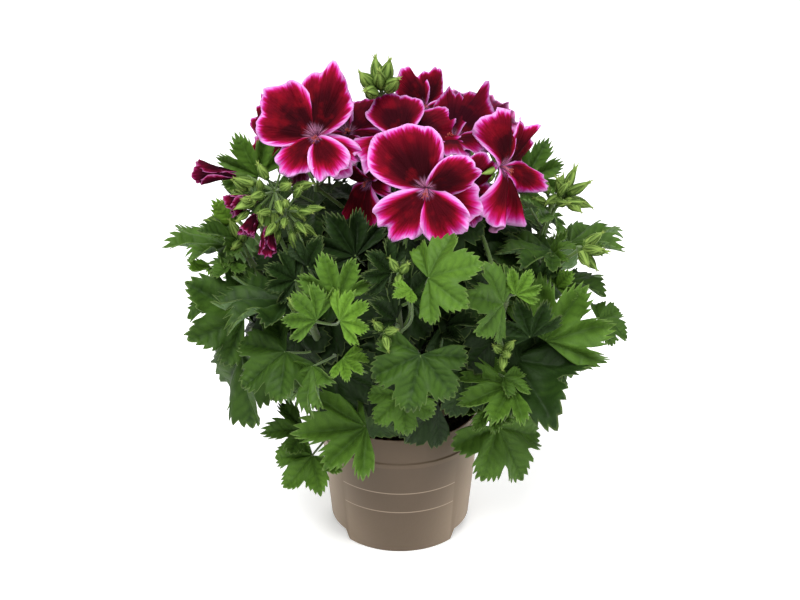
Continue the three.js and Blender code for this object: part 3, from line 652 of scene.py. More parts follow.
# One side of a lobe from its tip to the gap beside it: share of the lobe spacing, and height over the gap
WIDE_TEETH = (
    (0.0, 1.0), (0.035, 0.93), (0.08, 0.74), (0.12, 0.95), (0.155, 0.84), (0.2, 0.6), (0.245, 0.86),
    (0.28, 0.72), (0.325, 0.42), (0.37, 0.68), (0.41, 0.5), (0.455, 0.05), (0.5, -0.15),
)
SHARP_TEETH = (
    (0.0, 1.0), (0.03, 0.88), (0.08, 0.62), (0.12, 0.94), (0.155, 0.74), (0.2, 0.44), (0.245, 0.8),
    (0.28, 0.58), (0.325, 0.26), (0.37, 0.58), (0.42, 0.26), (0.46, -0.05), (0.5, -0.25),
)
PLAIN_TEETH = ((0.0, 1.0), (0.1, 0.7), (0.15, 0.92), (0.26, 0.46), (0.32, 0.74), (0.42, 0.3), (0.5, -0.1))
LEAF_KINDS = {
    "broad": {
        "half_angle": 122, "lobes": FIVE_LOBES, "gap": 0.71, "shoulder": 0.66, "cup": -0.14, "pleat": -0.1,
        "teeth": WIDE_TEETH, "rings": 9,
    },
    "fan": {
        "half_angle": 90, "lobes": FIVE_LOBES, "gap": 0.66, "shoulder": 0.6, "cup": 0.03, "pleat": -0.115,
        "teeth": SHARP_TEETH, "rings": 8,
    },
    "small": {
        "half_angle": 80, "lobes": THREE_LOBES, "gap": 0.6, "shoulder": 0.5, "cup": 0.1, "pleat": -0.12,
        "teeth": SHARP_TEETH, "rings": 8,
    },
    "inner": {
        "half_angle": 118, "lobes": FIVE_LOBES, "gap": 0.78, "shoulder": 0.66, "cup": -0.1, "pleat": -0.05,
        "teeth": PLAIN_TEETH, "rings": 4,
    },
}
LEAF_MARKS = ("margin", "tone")
LEAF_THICKNESS = 0.0005
MERGE_DISTANCE = 1e-5
# In leaf lengths: the depth and width of the grooves over the middle veins, how far inside the gaps the
# teeth begin, and how much shorter the side lobes are
VEIN_GROOVE = 0.016
GROOVE_WIDTH = 0.05
TOOTH_ROOT = 0.1
SIDE_SHORTENING = 0.24
# A leaf of its own: how much its lobes and teeth swell, and how its rim and its blade wave
LOBE_SWELL = 0.1
TOOTH_SWELL = 0.03
RIM_WAVE_SHARE = 0.6
BLADE_BULGE = 0.05


def leaf_margin(kind):
    """A leaf's margin as (share of the half angle, reach), from one side of the petiole to the other."""
    facts = LEAF_KINDS[kind]
    lobes, gap, teeth = facts["lobes"], facts["gap"], facts["teeth"]
    spacing = lobes[1] - lobes[0]
    sides = [(-off, height) for off, height in reversed(teeth[1:-1])] + list(teeth)
    points = [(-1, facts["shoulder"])]
    for lobe in lobes:
        for off, height in sides:
            share = lobe + off * spacing
            if abs(share) < 0.985:
                points.append((share, gap + (1 - gap) * height))
    return [*points, (1, facts["shoulder"])]


def leaf_template(kind):
    """A leaf one unit long. X runs from the petiole to the tip, and Z is its upper face."""
    facts = LEAF_KINDS[kind]
    lobes, inner = facts["lobes"], facts["gap"] + TOOTH_ROOT
    margin = leaf_margin(kind)
    half_angle = math.radians(facts["half_angle"])
    spacing = lobes[1] - lobes[0]
    bm = marked_bmesh(LEAF_MARKS, "veins")
    rim, veins = bm.verts.layers.float["margin"], bm.loops.layers.uv["veins"]
    bmesh.ops.create_grid(bm, x_segments=len(margin) - 1, y_segments=facts["rings"], size=1)
    bmesh.ops.reverse_faces(bm, faces=bm.faces[:])
    share_at = {}
    for vert in bm.verts:
        share, reach = margin[round((vert.co.x + 1) / 2 * (len(margin) - 1))]
        ring = ((vert.co.y + 1) / 2) ** 0.8
        reach = (inner + (reach - inner) * ring**4) * (1 - SIDE_SHORTENING * abs(share) ** 1.5)
        distance, angle = ring * reach, share * half_angle
        lobe = min(lobes, key=lambda middle: abs(middle - share))
        off = (share - lobe) / spacing
        groove = VEIN_GROOVE * math.exp(-(off * distance / GROOVE_WIDTH) ** 2) * distance ** 0.5
        pleat = facts["pleat"] * distance * (math.cos(2 * math.pi * off) - 0.3)
        share_at[vert] = share
        vert[rim] = ring
        height = facts["cup"] * distance**2 + pleat - groove
        vert.co = round_z(angle, distance, height)
    for face in bm.faces:
        share = sum(share_at[vert] for vert in face.verts) / len(face.verts)
        lobe = min(lobes, key=lambda middle: abs(middle - share)) * half_angle
        for loop in face.loops:
            x, y = loop.vert.co.x, loop.vert.co.y
            across = y * math.cos(lobe) - x * math.sin(lobe)
            along = x * math.cos(lobe) + y * math.sin(lobe)
            loop[veins].uv = (0.5 + across, along)
    bmesh.ops.remove_doubles(bm, verts=bm.verts[:], dist=MERGE_DISTANCE)
    return finished(bm, "leaf_" + kind)


def leaf_shape(seed, wave, droop):
    """How one leaf differs from its template: its lobes swell, its blade waves and its tip droops."""
    def shape(co):
        angle = math.atan2(co.y, co.x)
        reach = math.hypot(co.x, co.y)
        lobes = LOBE_SWELL * noise.noise((1.4 * angle, seed, 0.3))
        swell = 1 + lobes + TOOTH_SWELL * reach * noise.noise((6 * angle, seed, 4.3))
        ripple = wave * reach**2 * noise.noise((2.2 * co.x + seed, 2.2 * co.y, 0.7 * seed))
        frill = RIM_WAVE_SHARE * wave * reach**4 * noise.noise((5 * angle, seed, 2.1))
        bulge = BLADE_BULGE * reach * noise.noise((7 * co.x + seed, 7 * co.y, seed))
        height = co.z + ripple + frill + bulge - droop * max(co.x, 0) ** 3
        return Vector((co.x * swell, co.y * swell, height))
    return shape


def leaf_frame(junction, tip, facing):
    """A leaf's own frame, scaled to its length."""
    direction = tip - junction
    return frame_along(junction, direction, facing) @ Matrix.Scale(direction.length, 4)


# Buds

BUD_MARKS = ("margin", "ridge")
SEPAL_COUNT = 5
# A closed bud's core, in bud lengths: its width, length and ribs, and how far it browns towards its tip
BUD_SIDES = 10
BUD_RINGS = 6
CORE_WIDTH = 0.92
CORE_LENGTH = 0.88
CORE_RIBS = 0.06
CORE_BROWNING = 0.7
# A sepal, in its own lengths: its width and thickness, its bow outwards, the drop of its tip and how its
# sides bend back
SEPAL_SIDES = 8
SEPAL_RINGS = 7
SEPAL_WIDTH = 0.52
SEPAL_THICKNESS = 0.022
SEPAL_BOW = 0.17
SEPAL_TIP_DROP = 0.05
SEPAL_BEND = 1.5


def along_sphere(co):
    """How far along Z a point of a unit sphere lies, by angle: 0 at its foot and 1 at its top."""
    return math.acos(max(-1, min(1, -co.z))) / math.pi


def bud_template():
    """A closed bud's core, one unit long and wide, coloured with the painted shade between its sepals. Z
    runs to its tip.
    """
    bm = marked_bmesh(BUD_MARKS)
    rim = bm.verts.layers.float["margin"]
    bmesh.ops.create_uvsphere(bm, u_segments=BUD_SIDES, v_segments=BUD_RINGS, radius=1)
    for vert in bm.verts:
        turn = math.atan2(vert.co.y, vert.co.x)
        along = along_sphere(vert.co)
        radius = CORE_WIDTH * along ** 0.6 * (1 - along) ** 0.95 if 0 < along < 1 else 0
        radius *= 1 - CORE_RIBS + CORE_RIBS * math.cos(SEPAL_COUNT * turn)
        vert[rim] = CORE_BROWNING * along
        vert.co = round_z(turn, radius, CORE_LENGTH * along)
    return finished(bm, "bud")


def sepal_template():
    """One long pointed sepal, one unit long, that bows outwards. X runs to its tip."""
    bm = marked_bmesh(BUD_MARKS)
    rim, ridge = bm.verts.layers.float["margin"], bm.verts.layers.float["ridge"]
    bmesh.ops.create_uvsphere(bm, u_segments=SEPAL_SIDES, v_segments=SEPAL_RINGS, radius=1)
    for vert in bm.verts:
        along = along_sphere(vert.co)
        side = vert.co.x
        half = side * 0.5 * along ** 0.5 * (1 - along) ** 0.85 / 0.6
        vert[rim] = along
        vert[ridge] = 1 - abs(side)
        bow = SEPAL_BOW * math.sin(math.pi * along ** 0.8) ** 0.9 - SEPAL_TIP_DROP * along**3
        height = bow + SEPAL_THICKNESS * vert.co.y - SEPAL_BEND * (half / 2) ** 2
        vert.co = (along, half * SEPAL_WIDTH, height)
    return finished(bm, "sepal")


def cap_directions(axis, half_angle, count):
    """Directions spread evenly over a cap about an axis."""
    spread = frame_along(Vector(), perpendicular(axis), axis)
    least = math.cos(math.radians(half_angle))
    found = []
    for k in range(count):
        z = 1 - (1 - least) * (k + 0.5) / count
        ring, turn = math.sqrt(1 - z * z), k * GOLDEN_TURN
        found.append(spread @ round_z(turn, ring, z))
    return found


# Blooms

# Petals round the throat: angle (90 is up), whether it is an upper one, and its stance, which is its lift,
# roll, how far in front it lies, how much its sides fold back and how pointed it is. Last comes its share
# of the full size.
PETALS = (
    (134, True, (12, 8, 1.2, 0.1, 0.1), 1.0),
    (226, False, (8, -8, 1.4, 0.1, 0.0), 0.95),
    (282, False, (14, 6, 1.2, 0.1, 0.0), 1.0),
    (338, False, (6, 8, 0.0, 0.2, 0.0), 0.95),
    (406, True, (16, -10, 0.0, 0.35, 0.2), 0.95),
)
OWN_PETALS = {
    "bloom_left": (
        (136, True, (10, 6, 2.0, 0.0, 0.0), 0.92),
        (222, False, (12, -6, 0.8, 0.0, 0.2), 0.86),
        (291, False, (14, 4, 2.6, 0.0, 0.0), 0.84),
        (309, False, (-8, 8, -1.8, 0.2, 0.0), 0.92),
        (425, True, (16, -10, 0.0, 0.3, 0.6), 0.94),
    ),
    "bloom_left_rear": (
        (134, True, (12, 8, 1.2, 0.1, 0.0), 0.95),
        (226, False, (8, -8, 1.4, 0.1, 0.0), 0.9),
        (282, False, (14, 6, 1.2, 0.1, 0.0), 0.9),
        (338, False, (6, 8, 0.0, 0.2, 0.0), 0.9),
        (414, True, (6, -14, 0.0, 0.5, 0.0), 0.85),
    ),
    "bloom_middle": (
        (131, True, (8, 4, 2.2, 0.0, 0.0), 1.06),
        (243, False, (8, -6, 1.6, 0.0, 0.0), 1.06),
        (317, False, (12, 8, 1.4, 0.0, 0.0), 1.06),
        (350, False, (-4, 10, -1.4, 0.2, 0.0), 1.05),
        (403, True, (16, -30, 1.6, 0.6, 0.2), 0.8),
    ),
    "bloom_middle_rear": (
        (104, True, (8, 4, 3.4, 0.0, 0.0), 0.82),
        (212, False, (8, -8, 1.4, 0.1, 0.0), 0.95),
        (278, False, (14, 6, 1.2, 0.1, 0.0), 1.0),
        (334, False, (6, 8, 0.0, 0.2, 0.0), 0.95),
        (396, True, (-4, -6, -1.5, 0.3, 0.0), 1.0),
    ),
    "bloom_middle_low": (
        (140, True, (36, 8, 1.2, 0.8, 0.3), 0.62),
        (222, False, (10, 10, 1.2, 0.7, 0.5), 1.5),
        (254, False, (4, 0, 0.6, 0.7, 0.5), 1.36),
        (338, False, (6, 8, 0.0, 0.5, 0.0), 0.9),
        (406, True, (30, -10, 0.0, 0.6, 0.2), 0.7),
    ),
    "bloom_right_rear": (
        (103, True, (18, 10, 1.6, 0.6, 0.3), 0.86),
        (212, False, (26, -14, 1.4, 0.2, 0.0), 1.0),
        (278, False, (30, 6, 1.2, 0.3, 0.0), 1.0),
        (338, False, (26, 8, 0.0, 0.3, 0.0), 1.0),
        (426, True, (16, -16, 0.0, 0.5, 0.6), 0.96),
    ),
    "bloom_top": (
        (116, True, (10, 16, 1.6, 0.4, 0.2), 0.76),
        (212, False, (20, -14, 1.4, 0.3, 0.0), 0.9),
        (278, False, (24, 6, 1.2, 0.3, 0.0), 0.9),
        (338, False, (20, 8, 0.0, 0.3, 0.0), 0.9),
        (428, True, (10, -26, 0.0, 0.8, 0.4), 0.86),
    ),
    "bloom_right": (
        (94, True, (14, 14, 1.6, 1.0, 0.4), 0.93),
        (243, False, (10, -10, 1.4, 1.2, 0.3), 1.14),
        (286, False, (6, 6, 1.2, 1.2, 0.2), 1.18),
        (326, False, (20, 8, 0.0, 0.8, 0.6), 1.1),
        (384, True, (8, -12, 0.0, 0.3, 0.3), 0.84),
    ),
}
# How deep in the shade a bloom stands
BLOOM_SHADES = {
    "bloom_left_rear": 0.55, "bloom_middle_rear": 0.2, "bloom_right_rear": 0.45, "bloom_middle_low": 0.15,
    "bloom_right_low": 0.3, "bloom_left_low": 0.2, "bloom_top": 0.15,
}
# A petal's length and half width
UPPER_SIZE = (42, 24)
LOWER_SIZE = (35, 16)
PETAL_MARKS = ("margin", "seed", "shade")
PETAL_THICKNESS = 0.00035
PETAL_COLUMNS = 60
PETAL_RINGS = 14
# How much of a turn a petal's outline takes up, and how much wider it is towards its tip
PETAL_BASE = 0.94
PETAL_EGG = 0.34
# Its outline in shares of its size: how uneven and how notched its margin is, where that margin is
# frilled, how far a point reaches, and how much a point and a fold narrow it
MARGIN_WAVE = 0.17
MARGIN_NOTCH = 0.014
FRILL_LEAST = 0.4
FRILL_SPREAD = 1.6
POINT_REACH = 0.2
POINT_NARROWING = 0.5
FOLD_NARROWING = 0.42
# Its height: soft and fine ruffles, crinkles, pleats and bumps, the curl at its end and its sides, the
# hump behind that, how deep a full fold is, and the depth and width of the throat
RUFFLE = 7.5
FINE_RUFFLE = 2.2
CRINKLE = 1.0
PLEAT = 0.8
BUMP = 0.9
END_CURL = 3.0
SIDE_CURL = 1.8
HUMP = 1.6
FOLD_DEPTH = 16
THROAT_DEPTH = 3.0
THROAT_WIDTH = 7
# The heart of a bloom: how many stamens and stigma arms it has, and their first and last radii
STAMENS = 4
STIGMA_ARMS = 5
FILAMENT_RADII = (0.26, 0.18)
ANTHER_RADII = (0.42, 0.36)
ARM_RADII = (0.26, 0.22)


def petal_outline(turn):
    """A petal's outline, one unit long and one to each side."""
    side = math.sin(turn) * (1 + PETAL_EGG * math.cos(turn)) / (1.05 + 0.5 * PETAL_EGG**2)
    return Vector((0.5 + 0.5 * math.cos(turn), side))


def petal_margin(turn, ring):
    """How near a place in a petal is to its outline: 1 on it, and less by the distance in petal lengths."""
    edge = petal_outline(turn)
    flow = petal_outline(turn + 0.01) - petal_outline(turn - 0.01)
    edge.y, flow.y = 0.5 * edge.y, 0.5 * flow.y
    return 1 - (1 - ring) * abs(edge.cross(flow.normalized()))


def petal_template():
    """A flat petal one unit long and one to each side. X runs from the throat to the tip."""
    bm = marked_bmesh(PETAL_MARKS, "fan")
    rim, fan = bm.verts.layers.float["margin"], bm.loops.layers.uv["fan"]
    bmesh.ops.create_grid(bm, x_segments=PETAL_COLUMNS, y_segments=PETAL_RINGS, size=1)
    bmesh.ops.reverse_faces(bm, faces=bm.faces[:])
    polar = {}
    for vert in bm.verts:
        turn = PETAL_BASE * math.pi * vert.co.x
        ring = ((vert.co.y + 1) / 2) ** 0.85
        edge = petal_outline(turn)
        vert[rim] = petal_margin(turn, ring)
        vert.co = (ring * edge.x, ring * edge.y, 0)
        polar[vert] = math.atan2(0.5 * edge.y, edge.x)
    for face in bm.faces:
        for loop in face.loops:
            vert = loop.vert
            loop[fan].uv = (0.5 + polar[vert] / math.pi, math.hypot(vert.co.x, 0.5 * vert.co.y))
    bmesh.ops.remove_doubles(bm, verts=bm.verts[:], dist=MERGE_DISTANCE)
    return finished(bm, "petal")


def petal_shape(size, base_size, stance, seed):
    """How a petal stands: it rises from the throat, lifts and rolls, curls over at its end and ruffles."""
    length, width = base_size
    lift, roll, front, fold, point = stance
    lift, roll = math.radians(lift), math.radians(roll)
    width *= 1 - FOLD_NARROWING * fold

    def shape(co):
        turn = math.atan2(co.y, max(co.x, 1e-4))
        rim = math.hypot(co.x, 0.8 * co.y)

        def waves(fineness, kind):
            """Waves round the petal."""
            return noise.noise((fineness * turn, seed, kind))

        frill = max(0, FRILL_LEAST + FRILL_SPREAD * waves(1.9, 8.5)) * rim**5
        uneven = 1 + MARGIN_WAVE * rim * waves(2.4, 5.5) + MARGIN_NOTCH * frill * waves(10, 6.5)
        sharp = co.x**2 * (1 - min(1, abs(co.y)) ** 0.8) * POINT_REACH * point
        along = co.x * length * size * (uneven + sharp)
        side = co.y * width * size * uneven * (1 - POINT_NARROWING * point * max(0, co.x - 0.3))
        ruffle = RUFFLE * rim**2.5 * waves(3.2, 0.5) + FINE_RUFFLE * rim**4 * waves(8, 1.5)
        crinkle = CRINKLE * frill * waves(14, 3.5)
        bumps = BUMP * noise.noise((5 * co.x, 5 * co.y, seed)) * rim
        pleats = PLEAT * rim * waves(10, 2.5) + bumps
        hump = HUMP * math.sin(math.pi * min(co.x, 1))
        curl = -END_CURL * co.x**2 - SIDE_CURL * co.y**2 * rim + hump
        tucked = -FOLD_DEPTH * fold * abs(co.y) ** 1.7 * min(1, 1.4 * co.x)
        well = -THROAT_DEPTH * max(0, 1 - along / THROAT_WIDTH) ** 2
        height = along * math.sin(lift) - side * math.sin(roll) + well
        height += (ruffle + crinkle + pleats + curl + tucked) * size + front * min(1, co.x * 4)
        return Vector((along * math.cos(lift), side, height))
    return shape


def bloom_frame(centre, facing, spin):
    """A bloom's own frame: X is the way its upper petals point, and Z the way it looks."""
    face = facing.normalized()
    up = (UP - face * UP.dot(face)).normalized()
    along = Matrix.Rotation(math.radians(spin), 3, face) @ up
    return basis(centre, along, face.cross(along), face)


def make_bloom(name, centre, azimuth, elevation, spin, size, seed):
    """An open bloom's corolla: five ruffled petals round one throat."""
    bm = marked_bmesh(PETAL_MARKS, "fan")
    frame_here = bloom_frame(at(centre), heading(azimuth, elevation), spin)
    shade = BLOOM_SHADES.get(name, 0)
    for i, (angle, upper, stance, share) in enumerate(OWN_PETALS.get(name, PETALS)):
        base_size = UPPER_SIZE if upper else LOWER_SIZE
        shape = petal_shape(size * share, base_size, stance, seed + 3.1 * i)
        turn = Matrix.Rotation(math.radians(angle - 90), 4, "Z")
        place = frame_here @ turn @ Matrix.Scale(MM, 4)
        known = len(bm.faces)
        placed_copy(bm, PETAL, place, shape, seed=seed + 7.3 * i, shade=shade)
        bm.faces.ensure_lookup_table()
        for face in bm.faces[known:]:
            face.material_index = UPPER if upper else LOWER
    piece = as_piece(name + "_petals", finished(bm, name), [name], BLOOM_SKINS)
    thicken(piece, PETAL_THICKNESS, BACK)
    make_heart(name, frame_here, size, seed)


def make_heart(name, frame_here, size, seed):
    """The stamens and the five-parted stigma at a bloom's throat."""
    luck = random.Random(seed)
    tubes = []
    for k in range(STAMENS):
        out = round_z(k * GOLDEN_TURN)
        reach = (1.0 + 1.2 * luck.random()) * size
        tip = out * reach + Vector((-3.0 * size, 0, (4 + 2.5 * luck.random()) * size))
        path = [Vector((0, 0, -2.5)), out * 0.6 + UP * 1.5 * size, tip]
        tubes.append((smooth_path([frame_here @ at(p) for p in path], 5), *FILAMENT_RADII, THREAD))
        lean = out * 0.7 + UP * 0.7
        anther = [frame_here @ at(tip - lean * 0.4), frame_here @ at(tip + lean)]
        tubes.append((anther, *ANTHER_RADII, TIP))
    for k in range(STIGMA_ARMS):
        out = round_z(2 * math.pi * k / STIGMA_ARMS)
        foot, bend = Vector((-1, 0, 4 * size)), Vector((-1.4, 0, 6 * size)) + out * 0.6
        path = [foot, bend, Vector((-1.8, 0, 6.4 * size)) + out * 1.7]
        tubes.append((smooth_path([frame_here @ at(p) for p in path], 4), *ARM_RADII, TIP))
    as_piece(name + "_heart", tube_mesh(tubes, 1), [name], HEART_SKINS)


def tube_mesh(tubes, fineness):
    """Round tubes as one mesh. Each is (path in metres, first and last radius in millimetres, skin)."""
    curve = bpy.data.curves.new("tubes", "CURVE")
    curve.dimensions = "3D"
    curve.bevel_depth = MM
    curve.bevel_resolution = fineness
    curve.use_fill_caps = True
    for _ in STALK_SKINS:
        curve.materials.append(None)
    for path, first, last, skin in tubes:
        steps = len(path) - 1
        spline = curve.splines.new("POLY")
        spline.points.add(steps)
        for i, (point, place) in enumerate(zip(spline.points, path)):
            point.co = (*place, 1)
            point.radius = first + (last - first) * i / steps
        spline.material_index = skin
        spline.use_smooth = True
    holder = bpy.data.objects.new("tubes", curve)
    bpy.context.scene.collection.objects.link(holder)
    mesh = bpy.data.meshes.new_from_object(holder.evaluated_get(bpy.context.evaluated_depsgraph_get()))
    bpy.data.objects.remove(holder)
    bpy.data.curves.remove(curve)
    return mesh


# The plant's layout: stems from the soil up, leaves from the lowest up, umbels of buds, and blooms

# Each leaf: its kind, junction, tip, the azimuth and elevation its face turns to, and its tone, low where
# it paints the shade a leaf stands in and high for a young leaf's paler green
NEAR_STEMS = {
    "stem_left": {
        "path": [(-25, -9, 0), (-50, -16, 128), (-84, -22, 186), (-103, -20, 216)],
        "leaves": [
            ("broad", (-109, -30, 149), (-109, -56, 103), -150, 20, 0.4),
            ("broad", (-104, -44, 182), (-133, -58, 212), -132, 46, 0.4),
            ("small", (-126, -24, 209), (-141, -38, 215), -130, 50, 0.8),
            ("fan", (-118, -10, 220), (-157, -24, 231), -112, 86, 0.5),
            ("small", (-110, -36, 219), (-122, -54, 216), -120, 60, 0.5),
            ("small", (-111, -12, 236), (-125, -18, 256), -115, 50, 0.85),
            ("small", (-108, -22, 230), (-131, -36, 244), -115, 62, 0.4),
        ],
        "umbels": [(0.98, (-106, -24, 228), (-110, 60, 60, 3, 0, 14, 6))],
    },
    "stem_left_front": {
        "path": [(-14, -17, 0), (-32, -46, 120), (-52, -66, 172), (-60, -84, 206)],
        "leaves": [
            ("small", (-66, -52, 101), (-94, -62, 106), -120, 45, 0.45),
            ("broad", (-60, -60, 85), (-79, -78, 72), -112, 38, 0.62),
            ("fan", (-22, -88, 123), (-68, -104, 129), -102, 52, 0.55),
            ("broad", (-26, -70, 133), (-54, -66, 149), -97, 25, 0.2),
            ("fan", (-55, -112, 180), (-61, -124, 151), -150, 22, 0.5),
            ("broad", (-73, -92, 180), (-104, -104, 164), -110, 52, 0.42),
            ("fan", (-72, -78, 210), (-123, -78, 212), -105, 87, 0.32),
            ("fan", (-51, -116, 213), (-65, -124, 234), -105, 45, 0.62),
            ("fan", (-37, -120, 214), (-19, -127, 230), -75, 45, 0.8),
            ("fan", (-39, -104, 221), (-47, -108, 252), -95, 35, 0.6),
        ],
        "umbels": [
            (0.97, (-62, -106, 213), (-90, 50, 70, 3, 0, 12, 5)),
            (0.8, (-79, -60, 277), (-95, -12, 105, 13, 11, 16, 5.4)),
        ],
    },
    "stem_front": {
        "path": [(2, -21, 0), (8, -54, 112), (2, -84, 170), (-2, -92, 214)],
        "leaves": [
            ("broad", (1, -98, 152), (5, -112, 129), -92, 48, 0.55),
            ("fan", (-36, -112, 185), (-22, -122, 179), -78, 50, 0.76),
            ("broad", (13, -119, 191), (4, -136, 160), -88, 48, 0.42),
            ("small", (7, -126, 238), (-5, -134, 236), -95, 60, 0.8),
            ("broad", (17, -120, 243), (44, -130, 259), -88, 46, 0.6),
        ],
        "umbels": [
            (0.9, (-10, -112, 203), (-80, 30, 75, 3, 0, 12, 5)),
            (0.98, (0, -108, 240), (-100, 60, 70, 3, 0, 12, 5)),
        ],
    },
    "stem_right_front": {
        "path": [(16, -14, 0), (44, -42, 118), (60, -60, 170), (68, -74, 208)],
        "leaves": [
            ("broad", (67, -50, 102), (90, -64, 69), -50, 28, 0.52),
            ("fan", (62, -66, 130), (49, -80, 116), -84, 35, 0.55),
            ("fan", (73, -86, 153), (38, -104, 150), -88, 60, 0.58),
            ("small", (67, -86, 159), (85, -92, 151), -75, 78, 0.5),
            ("fan", (85, -72, 180), (75, -76, 209), -95, 30, 0.25),
            ("broad", (64, -105, 219), (46, -126, 233), -40, 12, 0.5),
            ("fan", (72, -98, 222), (81, -102, 239), -72, 35, 0.74),
        ],
        "umbels": [(0.82, (66, -94, 180), (-100, 20, 60, 4, 0, 13, 5))],
    },
    "stem_right": {
        "path": [(25, -4, 0), (56, -22, 130), (86, -26, 190), (97, -20, 238)],
        "leaves": [
            ("broad", (108, -6, 148), (122, -4, 112), 2, 12, 0.4),
            ("broad", (75, -56, 156), (130, -70, 161), -76, 62, 0.28),
            ("broad", (116, 16, 182), (143, 32, 186), 35, 40, 0.4),
            ("broad", (137, -16, 167), (160, -20, 162), -62, 62, 0.45),
            ("fan", (96, -60, 172), (123, -64, 216), -76, 40, 0.57),
            ("fan", (90, -54, 211), (82, -60, 234), -92, 22, 0.3),
            ("small", (103, -50, 206), (112, -58, 222), -78, 45, 0.7),
            ("fan", (99, -46, 231), (63, -54, 237), -92, 86, 0.36),
            ("fan", (99, -26, 219), (115, -34, 233), -62, 60, 0.6),
            ("fan", (98, -34, 253), (77, -50, 270), -70, 70, 0.45),
            ("fan", (84, 0, 264), (100, 8, 290), -82, 30, 0.45),
        ],
        "umbels": [
            (0.98, (108, -22, 260), (-60, 40, 95, 6, 0, 19, 6)),
            (0.7, (118, -42, 230), (-20, -5, 62, 5, 0, 19, 6)),
        ],
    },
    "stem_crown": {
        "path": [(-4, -3, 0), (-8, -22, 120), (-12, -36, 190), (-10, -36, 238)],
        "leaves": [
            ("fan", (28, -78, 190), (45, -94, 206), -90, 60, 0.2),
            ("broad", (-52, -30, 202), (-97, -16, 229), -110, 60, 0.25),
            ("fan", (-28, -76, 239), (-46, -74, 268), -100, 42, 0.12),
            ("fan", (-91, -38, 279), (-105, -40, 308), -100, 32, 0.6),
        ],
        "umbels": [(0.98, (-12, -22, 328), (-100, 70, 50, 6, 5, 18, 7.4))],
    },
}
# Half-open buds of the big left umbel: where the calyx ends, the way it points, its petals' length and
# flare
OPENING_STEM = "stem_left_front"
OPENING_HUB = (-79, -60, 277)
OPENING_BUDS = (
    ((-107, -48, 284), 178, 4, 29, 5.5),
    ((-93, -62, 272), 190, -12, 22, 3.0),
    ((-92, -70, 262), -140, -55, 17, 1.6),
    ((-83, -77, 257), -95, -75, 20, 1.0),
)
OPENING_SHADE = 0.5
# Smaller buds round the big clusters: stem, share of its length, hub and cluster
SMALL_BUDS = (
    ("stem_left_front", 0.86, (-72, -66, 266), (-70, -20, 80, 12, 11, 13, 4.2)),
    ("stem_left_front", 0.84, (-88, -58, 270), (-140, 20, 70, 6, 9, 13, 4.4)),
    ("stem_right", 0.9, (100, -26, 256), (-70, 60, 70, 7, 6, 15, 4.6)),
)
# Umbels of blooms: stem, share of its length, hub, and blooms, each with its name, centre, azimuth,
# elevation, spin and size
NEAR_BLOOMS = (
    ("stem_crown", 0.92, (-54, -34, 270), (
        ("bloom_left", (-52, -62, 314), -98, 22, 12, 1.0),
        ("bloom_left_low", (-84, -10, 296), -150, 30, 10, 0.8),
        ("bloom_left_rear", (-34, -12, 301), -95, 50, 0, 0.85),
    )),
    ("stem_front", 0.95, (4, -66, 250), (
        ("bloom_middle", (16, -93, 290), -92, 6, -14, 1.0),
        ("bloom_middle_rear", (1, -50, 307), -96, 58, 0, 1.0),
        ("bloom_middle_low", (-20, -52, 281), -138, 5, 20, 0.7),
    )),
    ("stem_right_front", 0.95, (50, -44, 250), (
        ("bloom_right", (65, -60, 293), -38, 6, 4, 1.0),
        ("bloom_right_rear", (33, -38, 304), -115, 64, 10, 1.0),
        ("bloom_right_low", (38, -62, 278), -80, 0, 8, 0.7),
    )),
    ("stem_crown", 0.99, (6, -12, 278), (
        ("bloom_top", (16, 8, 312), -80, 40, 0, 0.82),
    )),
)
# The far side repeats the near one after half a turn, lower at the top and without what is smallest
FAR_SHOULDER = 200
FAR_SLOPE = 0.7
LEAST_FAR_LEAF = 31
YOUNG_BUDS = 4
FAR_BUD_SHARE = 0.6
FAR_BLOOM_SIZE = 0.82
FAR_BLOOM_NAMES = ("bloom_left", "bloom_middle", "bloom_right", "bloom_right_rear")


def far_point(point):
    """A near point after half a turn, and lower if it is over the shoulder."""
    x, y, z = point
    return (-x, -y, z if z < FAR_SHOULDER else FAR_SHOULDER + FAR_SLOPE * (z - FAR_SHOULDER))


def far_stem(name, near):
    """The far side's copy of a near stem. The far crown carries only blooms."""
    leaves, umbels = [], []
    if name != "stem_crown":
        for kind, junction, tip, azimuth, elevation, tone in near["leaves"]:
            if (Vector(tip) - Vector(junction)).length > LEAST_FAR_LEAF:
                leaves.append((kind, far_point(junction), far_point(tip), azimuth + 180, elevation, tone))
        for share, hub, (azimuth, elevation, spread, count, pedicel, length, width) in near["umbels"]:
            if count > YOUNG_BUDS:
                fewer = math.ceil(FAR_BUD_SHARE * count)
                buds = (azimuth + 180, elevation, spread, fewer, pedicel, length, width)
                umbels.append((share, far_point(hub), buds))
    return {"path": [far_point(p) for p in near["path"]], "leaves": leaves, "umbels": umbels}


def far_blooms():
    """The far side's umbels of blooms."""
    found = []
    for stem, share, hub, blooms in NEAR_BLOOMS:
        kept = [(name + "_far", far_point(centre), azimuth + 180, elevation, spin, FAR_BLOOM_SIZE)
                for name, centre, azimuth, elevation, spin, _ in blooms if name in FAR_BLOOM_NAMES]
        if kept:
            found.append((stem + "_far", share, far_point(hub), kept))
    return found


STEMS = {**NEAR_STEMS, **{name + "_far": far_stem(name, near) for name, near in NEAR_STEMS.items()}}
BLOOM_UMBELS = [*NEAR_BLOOMS, *far_blooms()]


# Stalks

SOIL_TOP = 83
STEM_FOOT = 70
STEM_STRAIGHT = 4
# The shares of a stem between which its leaves start
LOWEST_LEAF = 0.42
HIGHEST_LEAF = 0.98
# Where a petiole ends on its blade, where and how far it bends below and behind it, and how far a
# peduncle rises midway
PETIOLE_END = 0.03
PETIOLE_BEND = {"at": 0.58, "below": 0.22, "behind": 0.1}
PEDUNCLE_BEND = 0.08
